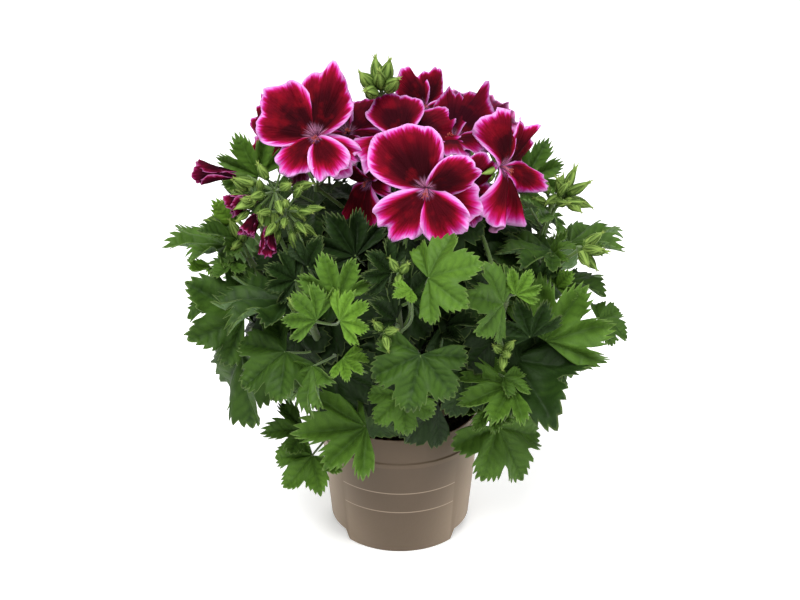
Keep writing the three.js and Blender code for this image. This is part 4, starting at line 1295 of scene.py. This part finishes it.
# First and last radii
STEM_RADII = (3.4, 2.4)
PETIOLE_RADII = (1.1, 0.7)
PEDUNCLE_RADII = (1.5, 1.4)
KNOB_RADIUS = 2.2
PEDICEL_RADII = (0.6, 0.8)
BLOOM_STALK_RADII = (1.0, 1.3)
CALYX_RADII = (1.2, 2.3)
OPENING_STALK_RADII = (0.8, 1.0)
HAIR_RADII = (0.07, 0.015)
# The radius that hairs stand on, how many there are, and their length
STEM_HAIRS = (2.8, 160, 1.3)
PETIOLE_HAIRS = (0.9, 12, 1.0)
PEDUNCLE_HAIRS = (1.2, 30, 1.2)
BLOOM_STALK_HAIRS = (0.9, 18, 1.2)
# Hairs on a bud: how many there are, how far round it they start, and their lengths and rise
BUD_HAIRS = 18
HAIR_SWELL = 1.15
BUD_HAIR_LENGTHS = (0.8, 1.7)
BUD_HAIR_RISE = 0.25
# How much a leaf of its own waves and droops, in leaf lengths
LEAF_WAVES = (0.2, 0.38)
LEAF_DROOPS = (0, 0.14)
# A closed bud: its core's width, and how far its sepals stretch, open, lean and reach, and how wide and
# thick they are, all in shares of its size or in degrees
BUD_CORE_WIDTH = 1.55
BUD_STRETCHES = (1.0, 1.25)
BUD_OPENINGS = (-2, 3)
SEPAL_LEANS = (-89, -86)
SEPAL_REACHES = (0.96, 1.06)
BUD_SEPAL_SIZE = (3.3, 3.1)
# A calyx: how long its sepals are, how far behind the throat they start, how they turn and lean forward,
# and where its stalk comes in behind the throat
CALYX_SEPAL = 15
CALYX_BEHIND = 4.6
CALYX_TURN = 0.3
CALYX_LEAN = 14
STALK_BEHIND = (18, 9, 3.6)
# The calyx of a half-open bud: how far behind its end it starts, its width and length, and how far its
# stalk goes into it
OPENING_CALYX_BEHIND = 11
OPENING_CALYX = (7.4, 17)
OPENING_STALK_IN = 2


def stem_path(stem):
    """A stem's middle line from its foot in the soil."""
    (foot_x, foot_y, _), *rest = stem["path"]
    points = [(foot_x, foot_y, STEM_FOOT), (foot_x, foot_y, SOIL_TOP + STEM_STRAIGHT), *rest]
    return smooth_path([at(p) for p in points])


def petiole(path, share, junction, tip, facing):
    """A petiole's path: it leaves the stem and comes in under its blade."""
    start = along_path(path, share)
    end = junction.lerp(tip, PETIOLE_END)
    span = (end - start).length
    frame_here = frame_along(junction, tip - junction, facing)
    along, face = frame_here.col[0].xyz, frame_here.col[2].xyz
    middle = start.lerp(end, PETIOLE_BEND["at"])
    middle -= face * PETIOLE_BEND["below"] * span + along * PETIOLE_BEND["behind"] * span
    return smooth_path([start, middle, end])


def hairs_on(path, radius, count, length):
    """Fine hairs that stand out from a stalk, as thin tapered tubes."""
    found = []
    for _ in range(count):
        place = along_path(path, dice.random())
        ahead = (path[-1] - path[0]).normalized()
        side = perpendicular(ahead)
        out = (Matrix.Rotation(dice.uniform(0, 2 * math.pi), 3, ahead) @ side).normalized()
        root = place + out * radius * MM * 0.8
        tip = root + (out + 0.3 * ahead * dice.uniform(-1, 1)) * length * MM * dice.uniform(0.6, 1.2)
        found.append(([root, tip], *HAIR_RADII, HAIRS))
    return found


def bud_hairs(place, length, width):
    """Fine hairs on a bud whose frame is given, with Z to its tip."""
    found = []
    for _ in range(BUD_HAIRS):
        along, turn = dice.uniform(0.1, 0.9), dice.uniform(0, 2 * math.pi)
        radius = 0.46 * width * math.sin(math.pi * along**0.86) ** 0.8
        root = round_z(turn, radius, along**1.12 * length)
        tip = root + round_z(turn, z=BUD_HAIR_RISE) * dice.uniform(*BUD_HAIR_LENGTHS)
        found.append(([place @ at(root), place @ at(tip)], *HAIR_RADII, HAIRS))
    return found


def make_stem(name, stem, fillers):
    """A stem's stalks, buds and hairs as one piece, and its leaves as another."""
    path = stem_path(stem)
    tubes = [(path, *STEM_RADII, STEM)]
    hairs = hairs_on(path, *STEM_HAIRS)
    buds = marked_bmesh(BUD_MARKS)
    blades = marked_bmesh(LEAF_MARKS, "veins")

    def add_leaf(kind, junction, tip, azimuth, elevation, tone, share):
        """A leaf and its petiole, which leaves the stem at a share of its length."""
        junction, tip, facing = at(junction), at(tip), heading(azimuth, elevation)
        stalk = petiole(path, share, junction, tip, facing)
        tubes.append((stalk, *PETIOLE_RADII, STALK))
        hairs.extend(hairs_on(stalk, *PETIOLE_HAIRS))
        seed = 40 * dice.random()
        shape = leaf_shape(seed, dice.uniform(*LEAF_WAVES), dice.uniform(*LEAF_DROOPS))
        placed_copy(blades, LEAVES[kind], leaf_frame(junction, tip, facing), shape, tone=tone)

    for i, leaf in enumerate(stem["leaves"]):
        share = LOWEST_LEAF + (HIGHEST_LEAF - LOWEST_LEAF) * (i + 1) / len(stem["leaves"])
        add_leaf(*leaf, share)
    for leaf, share in fillers:
        add_leaf(*leaf, share)
    small = [umbel for owner, *umbel in SMALL_BUDS if owner == name]
    for share, hub, cluster in [*stem["umbels"], *small]:
        add_umbel(tubes, hairs, buds, path, share, hub, cluster)
    for owner, share, hub, blooms in BLOOM_UMBELS:
        if owner == name:
            add_bloom_stalks(tubes, hairs, buds, path, share, hub, blooms)
    if name == OPENING_STEM:
        add_opening_stalks(tubes, buds)
    for face in buds.faces:
        face.material_index = SEPALS
    stalks = marked_bmesh(BUD_MARKS)
    for mesh in (tube_mesh(tubes, 2), tube_mesh(hairs, 0), finished(buds, "buds")):
        stalks.from_mesh(mesh)
    as_piece(name + "_stalks", finished(stalks, name), [name], STALK_SKINS)
    if stem["leaves"] or fillers:
        piece = as_piece(name + "_leaves", finished(blades, name), [name], LEAF_SKINS)
        thicken(piece, LEAF_THICKNESS, UNDERSIDE)
    else:
        blades.free()


def add_peduncle(tubes, hairs, path, share, hub):
    """An umbel's stalk and the knob at its end."""
    start, end = along_path(path, share), at(hub)
    middle = start.lerp(end, 0.5) + UP * PEDUNCLE_BEND * (end - start).length
    stalk = smooth_path([start, middle, end])
    knob = UP * KNOB_RADIUS * MM
    tubes.append((stalk, *PEDUNCLE_RADII, STALK))
    tubes.append(([end - knob, end, end + knob], KNOB_RADIUS, KNOB_RADIUS, STALK))
    hairs.extend(hairs_on(stalk, *PEDUNCLE_HAIRS))


def add_umbel(tubes, hairs, buds, path, share, hub, cluster):
    """An umbel of closed buds on their stalks."""
    azimuth, elevation, spread, count, pedicel, length, width = cluster
    add_peduncle(tubes, hairs, path, share, hub)
    core = Matrix.Diagonal((BUD_CORE_WIDTH * width * MM, BUD_CORE_WIDTH * width * MM, length * MM, 1))
    sepal_width, sepal_depth = [part * width * MM for part in BUD_SEPAL_SIZE]
    for direction in cap_directions(heading(azimuth, elevation), spread, count):
        root = at(hub) + direction * MM
        foot = root + direction * pedicel * MM
        if pedicel:
            tubes.append(([root, root.lerp(foot, 0.5), foot], *PEDICEL_RADII, STALK))
        place = frame_along(foot, perpendicular(direction), direction)
        placed_copy(buds, BUD, place @ core)
        stretch = dice.uniform(*BUD_STRETCHES)
        opened = dice.uniform(*BUD_OPENINGS)
        for k in range(SEPAL_COUNT):
            lean = Matrix.Rotation(math.radians(dice.uniform(*SEPAL_LEANS) + opened), 4, "Y")
            turn = Matrix.Rotation(2 * math.pi * k / SEPAL_COUNT, 4, "Z")
            reach = length * stretch * dice.uniform(*SEPAL_REACHES)
            size = Matrix.Diagonal((reach * MM, sepal_width, sepal_depth, 1))
            placed_copy(buds, SEPAL, place @ turn @ lean @ size)
        hairs.extend(bud_hairs(place, length, width * HAIR_SWELL))


def add_sepals(buds, place, size):
    """The five sepals behind an open bloom."""
    behind = Matrix.Translation((0, 0, -CALYX_BEHIND * MM))
    lean = Matrix.Rotation(math.radians(CALYX_LEAN), 4, "Y")
    for k in range(SEPAL_COUNT):
        turn = Matrix.Rotation(2 * math.pi * (k + CALYX_TURN) / SEPAL_COUNT, 4, "Z")
        placed_copy(buds, SEPAL, place @ behind @ turn @ lean @ Matrix.Scale(CALYX_SEPAL * size * MM, 4))


def add_bloom_stalks(tubes, hairs, buds, path, share, hub, blooms):
    """The stalks and calyxes of an umbel's open blooms."""
    add_peduncle(tubes, hairs, path, share, hub)
    for _, centre, azimuth, elevation, spin, size in blooms:
        place = bloom_frame(at(centre), heading(azimuth, elevation), spin)
        back = place.col[2].xyz
        behind = [at(centre) - back * distance * MM for distance in STALK_BEHIND]
        stalk = smooth_path([at(hub), *behind])
        tubes.append((stalk, *BLOOM_STALK_RADII, STALK))
        tubes.append((smooth_path(behind[1:]), *CALYX_RADII, STALK))
        hairs.extend(hairs_on(stalk, *BLOOM_STALK_HAIRS))
        add_sepals(buds, place, size)


def add_opening_stalks(tubes, buds):
    """The stalks and calyxes of the half-open buds."""
    width, length = [part * MM for part in OPENING_CALYX]
    for centre, azimuth, elevation, _, _ in OPENING_BUDS:
        facing = heading(azimuth, elevation)
        foot = at(centre) - facing * OPENING_CALYX_BEHIND * MM
        stalk = smooth_path([at(OPENING_HUB), foot + facing * OPENING_STALK_IN * MM])
        tubes.append((stalk, *OPENING_STALK_RADII, STALK))
        place = frame_along(foot, perpendicular(facing), facing)
        placed_copy(buds, BUD, place @ Matrix.Diagonal((width, width, length, 1)))


# A rolled petal: its radius at its foot and how that swells, the waves of its rim in and out and along
# the bud, and how far it wraps round
ROLL_RADIUS = 1.4
ROLL_SWELL = 2.6
ROLL_WAVE = 2.0
ROLL_RIM = 2.6
ROLL_WRAP = 1.45
# The rolled petals of one bud: where they start behind its calyx's end, and how each is turned from the
# one before, shorter and more open
ROLLED_PETALS = 4
ROLLED_BEHIND = 4
NEXT_TURN = 1.7
NEXT_SHORTER = 0.06
NEXT_FLARE = 0.7


def rolled_shape(turn_at, reach, flare, seed):
    """How a half-open bud's petal wraps round its axis, wider and wavy at its rim, with Z to the tip."""
    def shape(co):
        ring = math.hypot(co.x, 0.7 * co.y)
        wave = noise.noise((5 * co.y, seed, 0.4)) + 0.6 * noise.noise((13 * co.y, seed, 1.4))
        fine = 0.8 * noise.noise((24 * co.y, seed, 2.4))
        radius = ROLL_RADIUS + ROLL_SWELL * min(1, 2.4 * co.x) + flare * max(0, co.x - 0.5)
        radius += ROLL_WAVE * ring**4 * (wave + fine)
        turn = turn_at + ROLL_WRAP * co.y
        along = co.x * reach + ROLL_RIM * ring**3 * noise.noise((7 * co.y, seed, 3.1))
        return round_z(turn, radius, along)
    return shape


def make_opening_buds():
    """The half-open buds: dark petals rolled round each other, with wavy pale rims."""
    for i, (centre, azimuth, elevation, reach, flare) in enumerate(OPENING_BUDS):
        facing = heading(azimuth, elevation)
        start = at(centre) - facing * ROLLED_BEHIND * MM
        place = frame_along(start, perpendicular(facing), facing) @ Matrix.Scale(MM, 4)
        bm = marked_bmesh(PETAL_MARKS, "fan")
        for k in range(ROLLED_PETALS):
            length, opening = reach * (1 - NEXT_SHORTER * k), flare + NEXT_FLARE * k
            shape = rolled_shape(NEXT_TURN * k + i, length, opening, seed=3.7 * k + i)
            placed_copy(bm, PETAL, place, shape, seed=5.1 * k + i, shade=OPENING_SHADE)
        node = "opening_bud_left_front_%d" % (i + 1)
        piece = as_piece(node + "_petals", finished(bm, node), [node], ROLLED_SKINS)
        thicken(piece, PETAL_THICKNESS, UNDERSIDE)


# Inner leaves, which stand in the shade of the outer ones

INNER_MIDDLE = (0, 0, 176)
# Each shell: its half sizes, how many leaves it has and their lengths
INNER_SHELLS = (((106, 86, 104), 110, (32, 44)), ((66, 52, 84), 64, (40, 52)))
INNER_LOWEST = 116
INNER_HIGHEST = 276
# How deep in its shell a leaf lies, how far it turns to either side, how much its tip and its face rise,
# where on a stem it may start, and its tone, kept low to paint the shade it stands in
INNER_DEPTHS = (0.82, 1.0)
INNER_TURN = 1.9
INNER_TIP_RISE = 0.15
INNER_FACE_RISE = 0.45
INNER_STARTS = (0.35, 0.5, 0.65, 0.8, 0.95)
INNER_PAINTED_SHADE_TONES = (0.05, 0.3)
# Small leaves before the stalks at the front, whose low tones paint the shade there: stem, leaf, share of
# the stem
SHADE_LEAVES = (
    ("stem_front", ("fan", (-2, -100, 206), (-17, -112, 225), -95, 45, 0.16), 0.8),
    ("stem_front", ("fan", (4, -102, 222), (17, -112, 243), -85, 45, 0.18), 0.86),
    ("stem_front", ("fan", (-5, -98, 237), (-20, -108, 256), -100, 40, 0.2), 0.92),
    ("stem_left_front", ("fan", (-66, -84, 226), (-84, -92, 240), -110, 40, 0.2), 0.8),
    ("stem_left_front", ("fan", (-58, -86, 236), (-50, -94, 258), -95, 40, 0.18), 0.86),
    ("stem_right_front", ("fan", (58, -80, 216), (44, -90, 232), -90, 45, 0.18), 0.86),
)


def inner_leaves():
    """Leaves on two inner shells, given to the nearest stem: stem name to (leaf, share of the stem)."""
    starts = [(name, share, along_path(stem_path(stem), share))
              for name, stem in STEMS.items() for share in INNER_STARTS]
    found = {name: [] for name in STEMS}
    for name, leaf, share in SHADE_LEAVES:
        found[name].append((leaf, share))
    for reach, count, lengths in INNER_SHELLS:
        for k in range(count):
            z = 1 - 2 * (k + 0.5) / count
            ring, turn = math.sqrt(1 - z * z), k * GOLDEN_TURN
            out = round_z(turn, ring, z)
            depth = dice.uniform(*INNER_DEPTHS)
            place = Vector([m + r * o * depth for m, r, o in zip(INNER_MIDDLE, reach, out)])
            swing = Matrix.Rotation(dice.uniform(-INNER_TURN, INNER_TURN), 3, out)
            lean = swing @ (-out.cross(perpendicular(out)))
            tip = place + (lean + out * INNER_TIP_RISE).normalized() * dice.uniform(*lengths)
            if not INNER_LOWEST < tip.z < INNER_HIGHEST:
                continue
            facing = (out + UP * INNER_FACE_RISE).normalized()
            azimuth = math.degrees(math.atan2(facing.y, facing.x))
            elevation = math.degrees(math.asin(facing.z))
            name, share, _ = min(starts, key=lambda start: (start[2] - at(place)).length)
            tone = dice.uniform(*INNER_PAINTED_SHADE_TONES)
            leaf = ("inner", tuple(place), tuple(tip), azimuth, elevation, tone)
            found[name].append((leaf, share))
    return found


# Pot and soil

POT = {
    "height": 94, "rim": 57, "base": 50, "wall": 1.3, "collar": 19, "step": 0.9, "floor": 1.5,
    "foot": 7.5, "foot_width": 6, "draft": 2.5, "pad": 13, "arch": 32,
}
POT_SEGMENTS = 128
POT_ROUNDING = 0.35
POT_SHARP_ANGLE = math.radians(28)
ARCH_CUT_REACH = 80
DRAIN_HOLES = 4
DRAIN_RING = 28
DRAIN_RADIUS = 3.2
DRAIN_SIDES = 24
# The soil: its gap to the pot, its radius and height at its foot, its lumps as (height, fineness), how
# far its edge is rounded, and its crumbs
SOIL_GAP = 0.35
SOIL_FOOT = 9.4
SOIL_FOOT_RADIUS = 45
SOIL_SIDES = 96
SOIL_CUTS = 24
SOIL_LUMPS = ((1.5, 0.16), (0.9, 0.5), (0.4, 1.3))
SOIL_ROUNDING = 1.6
CRUMBS = 420
CRUMB_SIZES = (0.5, 1.7)
CRUMB_PROPORTIONS = (1, 0.8, 0.6)
CRUMB_HEIGHT = 0.6


def wall_radius(z):
    """The pot's outer radius at a height under its collar."""
    return POT["base"] + (POT["rim"] - POT["base"]) * z / (POT["height"] - POT["collar"])


def lathe(profile, name):
    """A closed profile of (radius, height) pairs turned about Z, starting and ending on the axis."""
    bm = bmesh.new()
    verts = [bm.verts.new(at((radius, 0, z))) for radius, z in profile]
    edges = [bm.edges.new(pair) for pair in zip(verts, verts[1:])]
    bmesh.ops.spin(bm, geom=verts + edges, angle=2 * math.pi, steps=POT_SEGMENTS, axis=(0, 0, 1),
                   cent=(0, 0, 0), use_merge=True)
    bmesh.ops.remove_doubles(bm, verts=bm.verts[:], dist=1e-6)
    bmesh.ops.recalc_face_normals(bm, faces=bm.faces[:])
    return finished(bm, name)


def rounded(profile):
    """The profile with a small bevel at each corner that isn't on the axis."""
    points = [Vector(p) for p in profile]
    found = [points[0]]
    for before, here, after in zip(points, points[1:], points[2:]):
        back, ahead = before - here, after - here
        cut = min(POT_ROUNDING, 0.4 * back.length, 0.4 * ahead.length)
        first, last = here + back.normalized() * cut, here + ahead.normalized() * cut
        middle = here.lerp((first + last) / 2, 0.55)
        found += [first, middle, last] if here.x > 0 else [here]
    return [tuple(p) for p in [*found, points[-1]]]


def arch_cutter():
    """The block that cuts the two arches through the foot ring."""
    bm = bmesh.new()
    half, top, low = POT["arch"], POT["foot"], -1
    wide = half + POT["draft"]
    corners = ((-wide, low), (wide, low), (half, top), (-half, top))
    face = bm.faces.new([bm.verts.new(at((-ARCH_CUT_REACH, y, z))) for y, z in corners])
    side = bmesh.ops.extrude_face_region(bm, geom=[face])["geom"]
    moved = [v for v in side if isinstance(v, bmesh.types.BMVert)]
    bmesh.ops.translate(bm, verts=moved, vec=at((2 * ARCH_CUT_REACH, 0, 0)))
    bmesh.ops.recalc_face_normals(bm, faces=bm.faces[:])
    return finished(bm, "arch_cutter")


def cut_away(piece, cutter_mesh):
    """Cuts a mesh out of a piece for good."""
    cutter = bpy.data.objects.new("cutter", cutter_mesh)
    bpy.context.scene.collection.objects.link(cutter)
    modifier = piece.modifiers.new("cut", "BOOLEAN")
    modifier.operation = "DIFFERENCE"
    modifier.solver = "EXACT"
    modifier.object = cutter
    bpy.context.view_layer.update()
    mesh = bpy.data.meshes.new_from_object(piece.evaluated_get(bpy.context.evaluated_depsgraph_get()))
    piece.modifiers.clear()
    piece.data = mesh
    bpy.data.objects.remove(cutter)


def drain_cutter():
    """The pegs that cut the four drain holes through the pot's floor."""
    bm = bmesh.new()
    radius, depth = DRAIN_RADIUS * MM, POT["foot"] * MM
    for k in range(DRAIN_HOLES):
        turn = 2 * math.pi * (k + 0.5) / DRAIN_HOLES
        middle = round_z(turn, DRAIN_RING, POT["foot"])
        bmesh.ops.create_cone(bm, cap_ends=True, segments=DRAIN_SIDES, radius1=radius, radius2=radius,
                              depth=depth, matrix=Matrix.Translation(at(middle)))
    return finished(bm, "drain_cutter")


def make_pot():
    """The pot: wall, collar with a fine step, foot ring with two arches, and the pad under its floor."""
    p = POT
    collar_foot, collar = p["height"] - p["collar"], p["rim"] - p["step"]
    floor_top = p["foot"] + p["floor"]
    inner = p["base"] - p["foot_width"]
    profile = [
        (0, 0), (p["pad"], 0), (p["pad"] + p["draft"], p["foot"]), (inner - p["draft"], p["foot"]),
        (inner, 0), (p["base"], 0), (p["rim"], collar_foot), (collar, collar_foot + p["step"]),
        (collar, p["height"]),
        (collar - p["wall"], p["height"]), (collar - p["wall"], collar_foot),
        (wall_radius(floor_top) - p["wall"], floor_top), (0, floor_top),
    ]
    skins = (pot_material(collar_foot * MM),)
    piece = as_piece("pot_shell", lathe(rounded(profile), "pot"), ["pot"], skins)
    cut_away(piece, arch_cutter())
    cut_away(piece, drain_cutter())
    piece.data.polygons.foreach_set("use_smooth", [True] * len(piece.data.polygons))
    bpy.context.view_layer.objects.active = piece
    piece.data.set_sharp_from_angle(angle=POT_SHARP_ANGLE)


def make_soil():
    """The soil's lumpy block, with crumbs on it."""
    edge = POT["rim"] - POT["step"] - POT["wall"] - SOIL_GAP
    bm = bmesh.new()
    bmesh.ops.create_circle(bm, segments=SOIL_SIDES, radius=edge * MM, cap_ends=True, cap_tris=True)
    spokes = [e for e in bm.edges if not e.is_boundary]
    bmesh.ops.subdivide_edges(bm, edges=spokes, cuts=SOIL_CUTS, use_grid_fill=True)
    bmesh.ops.triangulate(bm, faces=bm.faces[:])
    for vert in bm.verts:
        spot = vert.co / MM
        lumps = sum(height * noise.noise(spot * fineness) for height, fineness in SOIL_LUMPS)
        rounding = SOIL_ROUNDING * (vert.co.length / (edge * MM)) ** 8
        vert.co.z = (SOIL_TOP + lumps - rounding) * MM
    rim = [e for e in bm.edges if e.is_boundary]
    walls = bmesh.ops.extrude_edge_only(bm, edges=rim)["geom"]
    for vert in [v for v in walls if isinstance(v, bmesh.types.BMVert)]:
        vert.co.z = SOIL_FOOT * MM
        vert.co.xy = vert.co.xy * (SOIL_FOOT_RADIUS / edge)
    bmesh.ops.contextual_create(bm, geom=[e for e in bm.edges if e.is_boundary])
    bmesh.ops.recalc_face_normals(bm, faces=bm.faces[:])
    as_piece("soil_block", finished(bm, "soil"), ["soil"], (SOIL_SKIN,))
    crumbs = bmesh.new()
    for _ in range(CRUMBS):
        turn, reach = dice.uniform(0, 2 * math.pi), (edge - 2) * math.sqrt(dice.random())
        size = dice.uniform(*CRUMB_SIZES) * MM
        spot = round_z(turn, reach, SOIL_TOP + CRUMB_HEIGHT)
        angle, axis = dice.uniform(0, 6), Vector((dice.random(), dice.random(), 1))
        spin = Matrix.Rotation(angle, 4, axis.normalized())
        shape = Matrix.Diagonal((*[size * part for part in CRUMB_PROPORTIONS], 1))
        placed_copy(crumbs, CRUMB, Matrix.Translation(at(spot)) @ spin @ shape)
    as_piece("soil_crumbs", finished(crumbs, "crumbs"), ["soil"], (SOIL_SKIN,))


def crumb_template():
    """A rough crumb of a few faces."""
    bm = bmesh.new()
    bmesh.ops.create_icosphere(bm, subdivisions=1, radius=1)
    for vert in bm.verts:
        vert.co *= 1 + 0.35 * noise.noise(vert.co * 2.3)
    return finished(bm, "crumb")


# The stage

CAMERA_PLACE = (0, -913.5, 581.7)
CAMERA_AIM = (0, 0, 175)
CAMERA_LENS = 64.35
CAMERA_SENSOR = 36
WHITE = (1, 1, 1, 1)
FLOOR_SIZE = 12
FLOOR_HEIGHT = -0.5
FLOOR_GLOW = 0.3
# How strongly the world lights the plant, and how bright the camera sees it
WORLD_LIGHT = 0.34
WORLD_SEEN = 0.95
# Lamps: name, place in metres, size in metres and power in watts
LAMPS = (
    ("key", (-0.4, -1.1, 2.0), 1.5, 76),
    ("fill", (1.4, -1.0, 1.0), 1.2, 14),
    ("back", (0.3, 1.5, 1.6), 1.2, 20),
)
LAMP_AIM = (0, 0, 200)


def make_floor():
    """A plain pale floor under the pot."""
    bpy.ops.mesh.primitive_plane_add(size=FLOOR_SIZE, location=at((0, 0, FLOOR_HEIGHT)))
    floor = bpy.context.object
    floor.name = "floor"
    material, _, shader = new_material("pale_floor", 0.9, 0.1)
    shader.inputs["Base Color"].default_value = tint(250, 250, 250)
    shader.inputs["Emission Color"].default_value = WHITE
    shader.inputs["Emission Strength"].default_value = FLOOR_GLOW
    floor.data.materials.append(material)


def make_world():
    """Soft white light from all round, and a nearly white backdrop."""
    world = bpy.data.worlds.new("soft_studio")
    world.use_nodes = True
    tree = world.node_tree
    sky = tree.nodes["Background"]
    sky.inputs["Color"].default_value = WHITE
    sky.inputs["Strength"].default_value = WORLD_LIGHT
    seen = add(tree, "Background", {"Color": WHITE, "Strength": WORLD_SEEN})
    from_camera = add(tree, "LightPath").outputs["Is Camera Ray"]
    both = add(tree, "MixShader", {0: from_camera, 1: sky.outputs[0], 2: seen.outputs[0]})
    tree.links.new(both.outputs[0], tree.nodes["World Output"].inputs[0])
    bpy.context.scene.world = world


def aim_at(thing, place, target):
    """Stands a lamp or a camera at a place in metres and turns it to a target in metres."""
    thing.location = place
    thing.rotation_euler = (target - Vector(place)).to_track_quat("-Z", "Y").to_euler()
    bpy.context.scene.collection.objects.link(thing)


def make_lamps():
    """Three large soft lamps."""
    for name, place, size, power in LAMPS:
        lamp = bpy.data.lights.new(name, "AREA")
        lamp.size = size
        lamp.energy = power
        aim_at(bpy.data.objects.new(name, lamp), place, at(LAMP_AIM))


def make_camera():
    """A camera at the photograph's own angle."""
    data = bpy.data.cameras.new("camera")
    data.lens = CAMERA_LENS
    data.sensor_width = CAMERA_SENSOR
    camera = bpy.data.objects.new("camera", data)
    aim_at(camera, at(CAMERA_PLACE), at(CAMERA_AIM))
    bpy.context.scene.camera = camera


# Making the plant

LEAVES = {kind: leaf_template(kind) for kind in LEAF_KINDS}
BUD = bud_template()
SEPAL = sepal_template()
PETAL = petal_template()
CRUMB = crumb_template()

make_camera()
make_floor()
make_world()
make_lamps()
make_pot()
make_soil()
fillers = inner_leaves()
for stem_name, stem_facts in STEMS.items():
    make_stem(stem_name, stem_facts, fillers[stem_name])
make_opening_buds()
all_blooms = [bloom for *_, umbel_blooms in BLOOM_UMBELS for bloom in umbel_blooms]
for i, bloom in enumerate(all_blooms):
    make_bloom(*bloom, seed=1 + 5 * i)

bpy.context.scene.view_settings.view_transform = "Standard"
